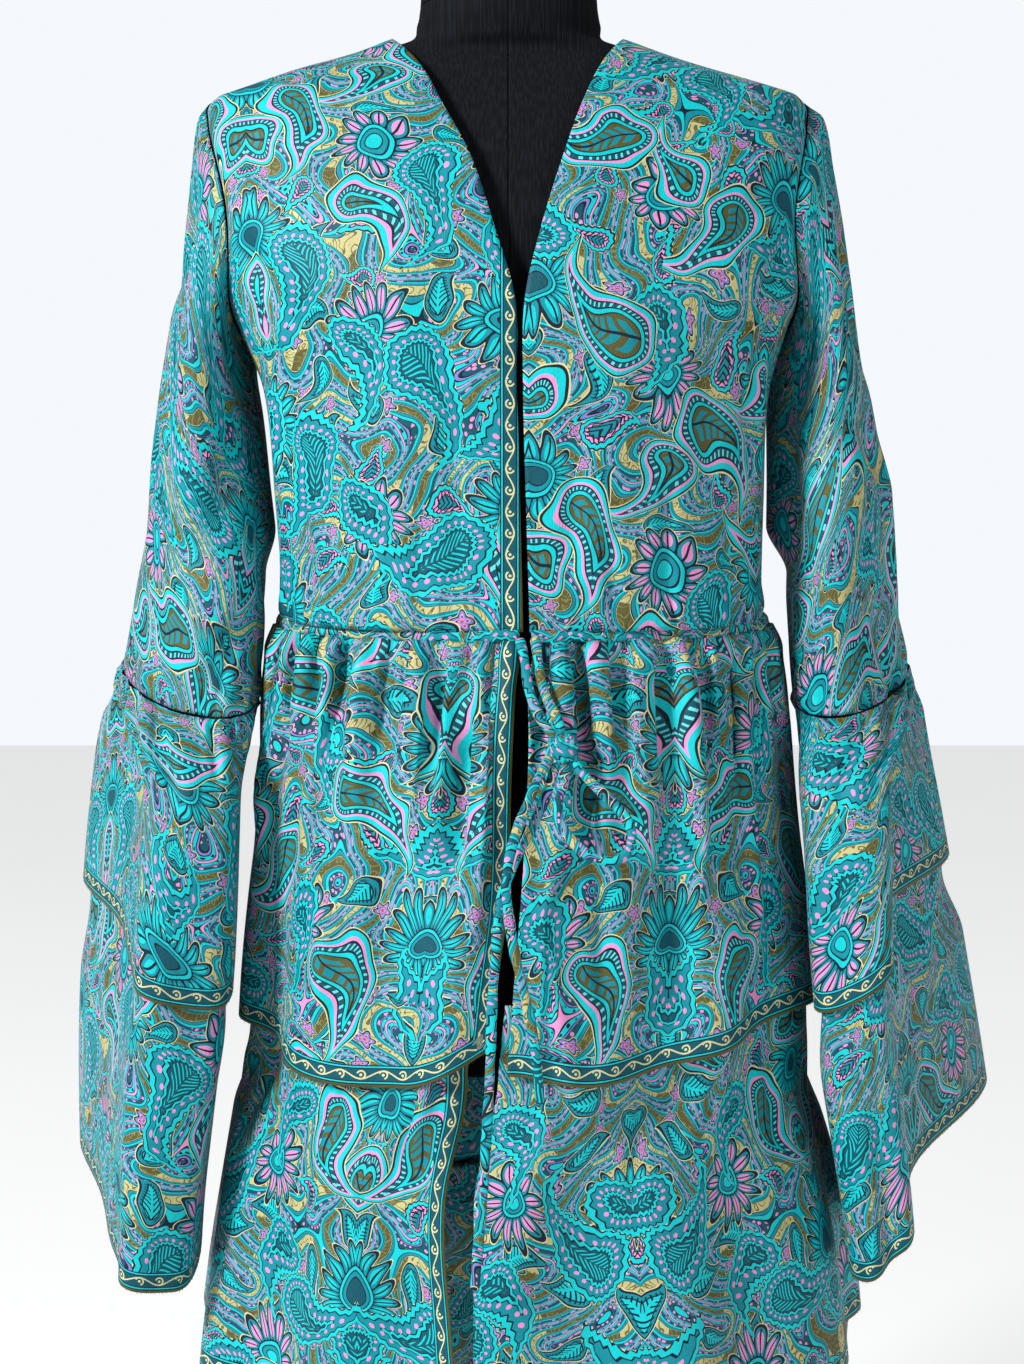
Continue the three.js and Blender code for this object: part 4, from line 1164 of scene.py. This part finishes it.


# Folds placed one by one: from (x, z) to (x, z), half width, height (a trough is negative) and bow
BODICE_FOLDS = {
    "left": [
        (-168, 1296, -128, 1236, 9, -3.2, 4), (-164, 1262, -136, 1168, 8, -2.6, -5),
        (-172, 1330, -120, 1296, 11, -2.0, 3), (-152, 1216, -140, 1120, 9, 2.6, 4),
        (-118, 1250, -104, 1100, 13, -1.9, 5), (-70, 1290, -58, 1110, 15, 1.7, -6),
        (-34, 1190, -26, 1070, 7, -1.8, 2), (-92, 1150, -84, 1062, 6, -2.2, 2),
        (-132, 1130, -128, 1060, 6, -2.3, -2), (-52, 1120, -55, 1060, 5, -2.2, 2),
        (-150, 1400, -120, 1385, 9, -1.6, 2),
    ],
    "right": [
        (176, 1290, 140, 1232, 9, -3.4, -4), (174, 1256, 146, 1160, 8, -2.8, 5),
        (176, 1326, 128, 1290, 11, -2.0, -3), (160, 1210, 152, 1116, 9, 2.6, -4),
        (124, 1246, 116, 1100, 13, -2.0, -5), (80, 1280, 70, 1110, 15, 1.7, 6),
        (40, 1180, 36, 1066, 7, -2.0, -2), (98, 1140, 94, 1062, 6, -2.4, -2),
        (140, 1126, 140, 1060, 6, -2.4, 2), (60, 1116, 64, 1060, 5, -2.2, -2),
        (150, 1398, 122, 1384, 9, -1.6, -2),
    ],
}
PEPLUM_FOLDS = [
    (-118, 1042, -126, 890, 5, -4.4, 3), (-136, 1042, -142, 962, 5, -3.6, 2),
    (-104, 1042, -108, 986, 4.5, -3.8, -2), (-88, 1043, -90, 930, 8, 3.2, 4),
    (-73, 1042, -78, 978, 5, -4.0, 2), (-55, 1043, -62, 900, 8, 3.4, -4),
    (-40, 1042, -48, 950, 5, -4.4, 3), (-26, 1000, -32, 905, 8, -6.5, 3),
    (-12, 1020, -22, 850, 7, 4.2, 2), (-150, 1042, -160, 900, 7, 3.0, 3),
    (20, 1042, 24, 980, 4.5, -4.2, 2), (32, 1043, 40, 950, 6, 3.4, 2),
    (46, 1042, 54, 900, 6, -5.0, 5), (62, 1042, 66, 990, 4.5, -3.8, -2),
    (76, 1043, 84, 930, 7, 3.6, 4), (92, 1042, 98, 960, 5, -4.6, 3),
    (108, 1042, 116, 860, 8, 3.2, -5), (120, 1042, 128, 980, 5, -4.2, 2),
    (140, 1042, 150, 930, 6, -4.6, 3), (158, 1042, 166, 990, 5, -3.6, 2),
    (150, 960, 160, 830, 9, 3.0, 3),
    (60, 930, 62, 815, 10, -3.0, 5), (98, 920, 106, 810, 10, -2.8, -4), (-70, 930, -78, 810, 10, -2.8, 4),
    (-110, 880, -116, 800, 9, 2.6, 3), (30, 900, 28, 800, 9, 3.0, -3),
]
# From (distance round from the outer side, distance down from the head), as on the right sleeve
SLEEVE_FOLDS = [
    (-70, 40, 10, 150, 10, -2.8, 6), (60, 60, 20, 190, 11, -2.6, -8), (100, 130, 40, 260, 10, -2.6, 8),
    (-40, 200, -10, 330, 12, -2.4, 6), (30, 230, 60, 360, 10, 2.4, 5), (130, 60, 120, 240, 12, 2.2, 8),
    (-130, 90, -90, 260, 12, -2.4, 8), (-160, 200, -150, 340, 11, -2.2, -6),
    (150, 240, 165, 350, 10, -2.4, 5),
    (90, 290, 84, 380, 8, -2.8, 2), (0, 300, -6, 385, 8, -2.6, 2),
]
# The back's folds are placed on its flat cloth: x from its middle, y down to the waist at 0
BACK_FOLDS = [
    (-150, -230, -118, -130, 10, -2.8, 5), (150, -236, 120, -128, 10, -2.8, -5),
    (-168, -180, -150, -60, 9, 2.4, 4), (166, -176, 150, -56, 9, 2.4, -4),
    (-80, -200, -66, -40, 13, -2.0, -6), (74, -190, 62, -36, 13, -2.0, 6),
    (-8, -300, 6, -90, 15, -1.8, 5), (-120, -330, -60, -300, 11, -1.8, 4),
    (118, -326, 62, -298, 11, -1.8, -4),
]
# How deep the tables' heights are made on each kind of piece
BODICE_DEPTH = 1.5
PEPLUM_DEPTH = 2.25
SLEEVE_DEPTH = 2.35
# The ranges that a gather's width, height and reach are drawn from
BODICE_GATHERS = ((2.6, 5), (1.8, 4.4), (18, 70))
SLEEVE_GATHERS = ((3, 5.6), (2, 4.6), (18, 66))
FLOUNCE_GATHERS = ((3.4, 6.6), (3, 7), (26, 120))
PEPLUM_GATHERS = ((3.8, 7), (4.4, 9.5), (30, 170))
TIER_GATHERS = ((4, 9), (3, 7), (40, 170))
# Columns and rows of the meshes
GRIDS = {
    "front": (100, 170), "back": (150, 160), "sleeve": (124, 116), "flounce": (180, 70),
    "peplum": (450, 78), "tier_2": (370, 70), "tier_3": (300, 60), "casing": (420, 10),
    "knot": (72, 36), "torso": (110, 130), "neck": (110, 40),
}
# How far the bodice puffs out just above the waist seam, and how far it sags to it
BLOUSE = {"out": 1.2, "above": 8, "width": 7}
WAIST_SAG = {"drop": 2.2, "reach": 16}
# The peplum's puff and lift below that seam, and how far its front edges stand to the right
PEPLUM_PUFF = {"out": 2.0, "below": 11, "width": 9}
PEPLUM_LIFT = {"up": 1.6, "reach": 12}
PEPLUM_EDGES = {"left": 13, "right": 3.5}
# The share of each lower tier that is hidden by the tier above it
TIER_HIDDEN = {"tier_2": 0.16, "tier_3": 0.15}


def folded(flat, rows, depth=1.0):
    return depth * sum(fold_line(flat, row) for row in rows)


def bloused(points, facing, height, from_seam):
    """The bodice's grid raised by a height, puffed out above the waist seam and sagging to it."""
    puff = BLOUSE["out"] * rise(from_seam, BLOUSE["above"], BLOUSE["width"])
    points = raised(points, facing, height + puff)
    points[..., 2] -= WAIST_SAG["drop"] * (1 - smooth(from_seam, 0, WAIST_SAG["reach"]))
    return points


def on_flat(across, down):
    return np.stack([across, down], axis=-1)


def bodice():
    facing = np.array([0, -1.0, 0])
    for side, way in (("left", -1), ("right", 1)):
        u, v = grid(*GRIDS["front"])
        points = front_panel(side, way, u, v)
        across = points[:, :1, 0] + way * run_lengths(points, 1)
        down = run_lengths(points, 0)
        down -= down[-1:]
        flat = on_flat(across, down)
        low, high = sorted((points[-1, 0, 0], across[-1, -1]))
        height = gathers(flat, 0, -1, low, high, 24, *BODICE_GATHERS)
        height += folded(flat, placed(points, flat, BODICE_FOLDS[side]), BODICE_DEPTH)
        height += swells(flat, 90, 0.8, 3 + way) * smooth(-down, 0, 30)
        height *= smooth(np.abs(across - across[:, :1]), 0, 12) * 0.8 + 0.2
        points = bloused(points, facing, height, -down)
        border = (down, 8.5 - across) if side == "left" else None
        shift = (170, 40) if side == "left" else (-12, 310)
        cloth_piece(f"front_{side}_cloth", points, facing, across, down, f"bodice_front_{side}",
                    shift, border)
    u, v = grid(*GRIDS["back"])
    points = back_panel(u, v)
    across = run_lengths(points, 1)
    middle = across.shape[1] // 2
    across -= across[:, middle:middle + 1]
    down = run_lengths(points, 0)
    down -= down[-1:]
    flat = on_flat(across, down)
    height = gathers(flat, 0, -1, across[-1, 0], across[-1, -1], 48, *BODICE_GATHERS)
    height += folded(flat, BACK_FOLDS)
    height += swells(flat, 110, 0.9, 9) * smooth(-down, 0, 30)
    points = bloused(points, -facing, height, -down)
    cloth_piece("back_cloth", points, -facing, across, down, "bodice_back", (0, 100))


def ring_across(points):
    """Lengths round a closed grid from its outer side, with the first column once more at the end."""
    around = run_lengths(points, 1, closed=True)
    half = points.shape[1] // 2
    return around - around[:, half:half + 1]


def ring_down(points):
    down = run_lengths(points, 0)
    return np.concatenate([down, down[:, :1]], axis=1)


SLEEVE_LEAN_IN = {"left": 8.5, "right": 15}
LEAN_IN_TURN = -0.9 * math.pi
LEAN_IN_WIDTH = 0.5


def leaned_in(points, side, way, phi):
    """The back of a sleeve's inner side, leaned toward the body that it hangs beside."""
    z = points[..., 2]
    aside = (phi - LEAN_IN_TURN + math.pi) % TURN - math.pi
    share = rise(aside, 0, LEAN_IN_WIDTH) * smooth(z, 1080, 1112) * (1 - smooth(z, 1222, 1246))
    points[..., 0] -= way * SLEEVE_LEAN_IN[side] * share
    return 1 - share


def sleeves():
    for side, way in (("left", -1), ("right", 1)):
        phi, v = turns(*GRIDS["sleeve"])
        length = SLEEVES[side]["down"][-1]
        points = sleeve_point(side, way, phi, v * (length - RIM_GAP / 2))
        calm = leaned_in(points, side, way, phi)
        facing = bell_out(way, phi)
        across, down = ring_across(points), ring_down(points)
        flat = on_flat(across, down - down[-1:])[:, :-1]
        start, end = across[-1, [0, -1]]
        height = gathers(flat, 0, -1, start, end, 32, *SLEEVE_GATHERS, end - start)
        from_head = on_flat(across, down)[:, :-1]
        height += folded(from_head, [(way * a, b, way * c, d, w, h, way * bow)
                                     for a, b, c, d, w, h, bow in SLEEVE_FOLDS], SLEEVE_DEPTH)
        height += swells(flat, 70, 0.9, 30 + way) * smooth(v, 0.02, 0.2) * (1 - smooth(v, 0.85, 1))
        points = raised(points, facing, height * calm, True)
        shift = (20, 250) if side == "left" else (95, 120)
        cloth_piece(f"sleeve_{side}_cloth", points, facing, across, down, f"sleeve_upper_{side}", shift,
                    closed=True)
        for part, make, hem_run in (("upper", bell_upper, 30), ("lower", bell_lower, 75)):
            phi, v = turns(*GRIDS["flounce"])
            top = RIM_GAP / (ELBOW_Z - BELL_HEMS[side]["upper"]) if part == "upper" else 0
            points = make(side, way, phi, mix(top, 1, v))
            facing = bell_out(way, phi)
            wide = ring_across(points)[-1:]
            down = ring_down(points)
            across = wide + 0 * down
            if part == "upper":
                start, end = wide[0, [0, -1]]
                flat = on_flat(across, down)[:, :-1]
                height = gathers(flat, 0, 1, start, end, 40, *FLOUNCE_GATHERS, end - start)
                points = raised(points, facing, height, True)
            shift = (hem_run, 400) if side == "left" else (hem_run + 60, 150)
            cloth_piece(f"flounce_{part}_{side}_cloth", points, facing, across, down,
                        f"sleeve_flounce_{part}_{side}", shift, (across, down[-1:] - down), True,
                        hem=True)


def skirt():
    for name in ("peplum", "tier_2", "tier_3"):
        cols, rows = GRIDS[name]
        u, v = grid(cols, rows)
        if name == "peplum":
            points = tier_point(TIERS["peplum"], u, v)
        elif name == "tier_2":
            points = hanging_point(TIERS["lower"], TIERS["peplum"], u, v)
        else:
            points = hanging_point(TIERS["last"], TIERS["lower"], u, v)
        facing = tier_ring(TIERS["peplum"], u, 900 + 0 * v)[1]
        down = run_lengths(points, 0)
        across = run_lengths(points, 1)[-1:] + 0 * down
        flat = on_flat(across, down)
        if name == "peplum":
            edges = PEPLUM_EDGES["left"] * smooth(u, 0.93, 1)
            edges += PEPLUM_EDGES["right"] * (1 - smooth(u, 0, 0.05))
            points[..., 0] += edges * smooth(v, 0.1, 0.7)
            height = gathers(flat, 0, 1, 0, across[-1, -1], 84, *PEPLUM_GATHERS)
            height += folded(flat, placed(points, flat, PEPLUM_FOLDS), PEPLUM_DEPTH)
            height += PEPLUM_PUFF["out"] * rise(down, PEPLUM_PUFF["below"], PEPLUM_PUFF["width"])
            points = raised(points, facing, height)
            points[..., 2] += PEPLUM_LIFT["up"] * (1 - smooth(down, 0, PEPLUM_LIFT["reach"]))
        else:
            top = TIER_HIDDEN[name] * down[-1, 0]
            height = gathers(flat, top, 1, 0, across[-1, -1], 60, *TIER_GATHERS)
            height *= smooth(v, 0.14, 0.3)
            height += swells(flat, 150, 1.2, cols) * smooth(v, 0.2, 0.5)
            points = raised(points, facing, height)
        hem = down[-1:] - down
        front = across[:, -1:] - across
        use_front = front < hem
        border = (np.where(use_front, down, across), np.where(use_front, front, hem))
        cloth_piece(f"{name}_cloth", points, facing, across, down, f"skirt_{name}",
                    (60, 37 * rows), border, hem=True)


CASING_LEAN = 2.2
CASING_FULLNESS = 1.15
RUCHE_OUT = 2.2
RUCHE_IN = 0.9


def waist():
    """The casing: a narrow ruched tunnel that leans from the bodice's edge out to the peplum's."""
    u, v = grid(*GRIDS["casing"])
    points = tier_ring(TIERS["peplum"], u, TIERS["peplum"]["rows"]["z"][0] + 0 * u)[0]
    facing = tier_ring(TIERS["peplum"], u, 1040 + 0 * v)[1]
    points[..., 2] = WAIST_Z + CASING_HEIGHT / 2 * np.cos(v * math.pi)
    run = run_lengths(points, 1)
    along = on_flat(run, 0 * run)
    full = np.sin(v * math.pi).clip(0) ** 0.6
    ruche = (swells(along, 9, 0.5, 4) + swells(along, 5, 0.25, 6)) * full
    points += facing * (ruche + RUCHE_OUT * full - RUCHE_IN - CASING_LEAN * (1 - v))[..., None]
    down = run_lengths(points, 0)
    layers = cloth_layers(on_flat(run * CASING_FULLNESS, down))
    obj = grid_mesh("casing_cloth", points, facing, False, layers)
    shelled(obj)
    finish_piece(obj, cloth_look, "cloth", "waist_casing")


CORD_HALF_WIDTH = 3.0
CORD_HALF_THICK = 1.8
CORD_STEP = 1.2
CORD_ENDS = 1.6
CORD_SIDES = 16
KNOT_SIZE = (8, 5, 9)


def rounded_tube(name, line, half_width, half_thick, seed):
    """A flattened cloth cord along a line, closed at both ends."""
    tangent = np.gradient(line, axis=0)
    tangent /= np.linalg.norm(tangent, axis=-1, keepdims=True)
    side = np.cross(tangent, (0, -1, 0))
    side /= np.linalg.norm(side, axis=-1, keepdims=True)
    out = np.cross(side, tangent)
    run = along_line(line)
    end = np.minimum(run, run[-1] - run)
    size = np.sqrt(np.clip(end / CORD_ENDS, 0.002, 1))
    draw = np.random.default_rng(seed)
    wave = 0.22 * np.sin(run / draw.uniform(7, 11) + draw.uniform(0, 6))
    wave += 0.16 * np.sin(run / draw.uniform(2.6, 4))
    turn = np.linspace(0, TURN, CORD_SIDES, endpoint=False)
    to_side = ((half_width + wave) * size)[:, None] * np.cos(turn)[None]
    to_front = ((half_thick + wave * 0.5) * size)[:, None] * np.sin(turn)[None]
    points = line[:, None] + side[:, None] * to_side[..., None] + out[:, None] * to_front[..., None]
    around = np.linspace(0, TURN * half_width * 0.8, CORD_SIDES + 1)[None] + seed * 37.0
    uv = np.stack(np.broadcast_arrays(around, run[:, None]), -1)
    tube = grid_mesh(name, points, points - line[:, None], True, cloth_layers(uv), True)
    return tube, run[-1]


def tie():
    """Ruched ball of the knot, and the cords that run from the casing to it and hang from it."""
    u, v = turns(*GRIDS["knot"])
    level = np.sin(v * math.pi)
    around = stack(np.cos(u) * level, np.sin(u) * level, np.cos(v * math.pi))
    wrap = 1 + 0.09 * np.sin(5 * (around[..., 0] * 1.2 + around[..., 2]) + 0.6)
    wrap += 0.03 * np.sin(11 * u + 9 * v)
    ball = np.array(KNOT) + around * np.array(KNOT_SIZE) * wrap[..., None]
    wide = np.concatenate([u, u[:, :1] + TURN], axis=1) * 8
    uv = np.stack([wide, np.concatenate([v, v[:, :1]], axis=1) * 26], -1)
    knot = grid_mesh("knot_cloth", ball, around, True, cloth_layers(uv))
    finish_piece(knot, cloth_look, "tie", "drawstring_knot")
    for seed, (name, route) in enumerate(STRINGS.items(), start=2):
        line = centripetal(route, CORD_STEP)
        obj, length = rounded_tube(f"{name}_cord", line, CORD_HALF_WIDTH, CORD_HALF_THICK, seed)
        finish_piece(obj, cloth_look, "tie", name)


def form_piece(name, points, node):
    """A closed piece of the form, on a grid that faces away from the form's axis."""
    facing = points - stack(0, SHOULDER_Y, points[..., 2])
    obj = grid_mesh(name, points, facing, closed=True, capped=True)
    finish_piece(obj, form_look, "form_jersey", node)


def dress_form():
    turn, v = turns(*GRIDS["torso"])
    z = np.interp(v, np.linspace(0, 1, len(FORM["z"])), FORM["z"])
    form_piece("torso_jersey", form_ring(z, turn), "form_torso")
    turn, v = turns(*GRIDS["neck"])
    up = v * NECK_BLOCK["up"][-1]
    share = sample(NECK_BLOCK, "up", up, "share")
    ring = form_ring(NECK_BLOCK_Z + 0 * v, turn)
    y = mix(SHOULDER_Y, ring[..., 1], share) - up * NECK_LEAN
    form_piece("neck_jersey", stack(ring[..., 0] * share, y, NECK_BLOCK_Z + SEAM + up), "form_neck")


bodice()
sleeves()
skirt()
waist()
tie()
dress_form()

for name in ("stand_base", "stand_pole"):
    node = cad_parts[name]
    node.data.materials.clear()
    node.data.materials.append(metal_look)


# Floor and light

FLOOR_HALF = 6
SKY_TINT = (0.93, 0.96, 1.0, 1)
SKY_SEEN = 0.72
SKY_LIGHT = 0.26

floor_mesh = bpy.data.meshes.new("floor")
corners = [(x * FLOOR_HALF, y * FLOOR_HALF, 0) for x, y in ((-1, -1), (1, -1), (1, 1), (-1, 1))]
floor_mesh.from_pydata(corners, [], [(0, 1, 2, 3)])
floor = link("floor", floor_mesh)
floor_look, tree, shader = material("floor", roughness=0.85, specular=0.1)
tone = object_place(tree, 1).node("TexNoise", None, 1.2).math("MULTIPLY_ADD", 0.03, 0.5)
pale = tone.node("CombineXYZ", tone, tone)
pale.into(shader, "Base Color")
pale.into(shader, "Emission Color")
shader.inputs["Emission Strength"].default_value = 1.2
floor.data.materials.append(floor_look)

world = bpy.data.worlds.new("world")
world.use_nodes = True
sky = world.node_tree
background = sky.nodes["Background"]
background.inputs["Color"].default_value = SKY_TINT
seen = shader_node(sky, "LightPath")
seen.math("MULTIPLY_ADD", SKY_SEEN, SKY_LIGHT).into(background, "Strength")
scene.world = world
scene.view_settings.view_transform = "Standard"


def lamp(name, place, target, size, power):
    data = bpy.data.lights.new(name, "AREA")
    data.size = size
    data.energy = power
    obj = bpy.data.objects.new(name, data)
    obj.location = place
    aim = np.array(target) - np.array(place)
    pitch = math.atan2(math.hypot(aim[0], aim[1]), -aim[2])
    obj.rotation_euler = (pitch, 0, math.atan2(-aim[0], aim[1]))
    scene.collection.objects.link(obj)


lamp("key", place=(-2.3, -1.8, 2.6), target=(0, 0, 1.1), size=0.6, power=160)
lamp("fill", place=(1.6, -2.4, 1.5), target=(0, 0, 1.0), size=1.4, power=24)
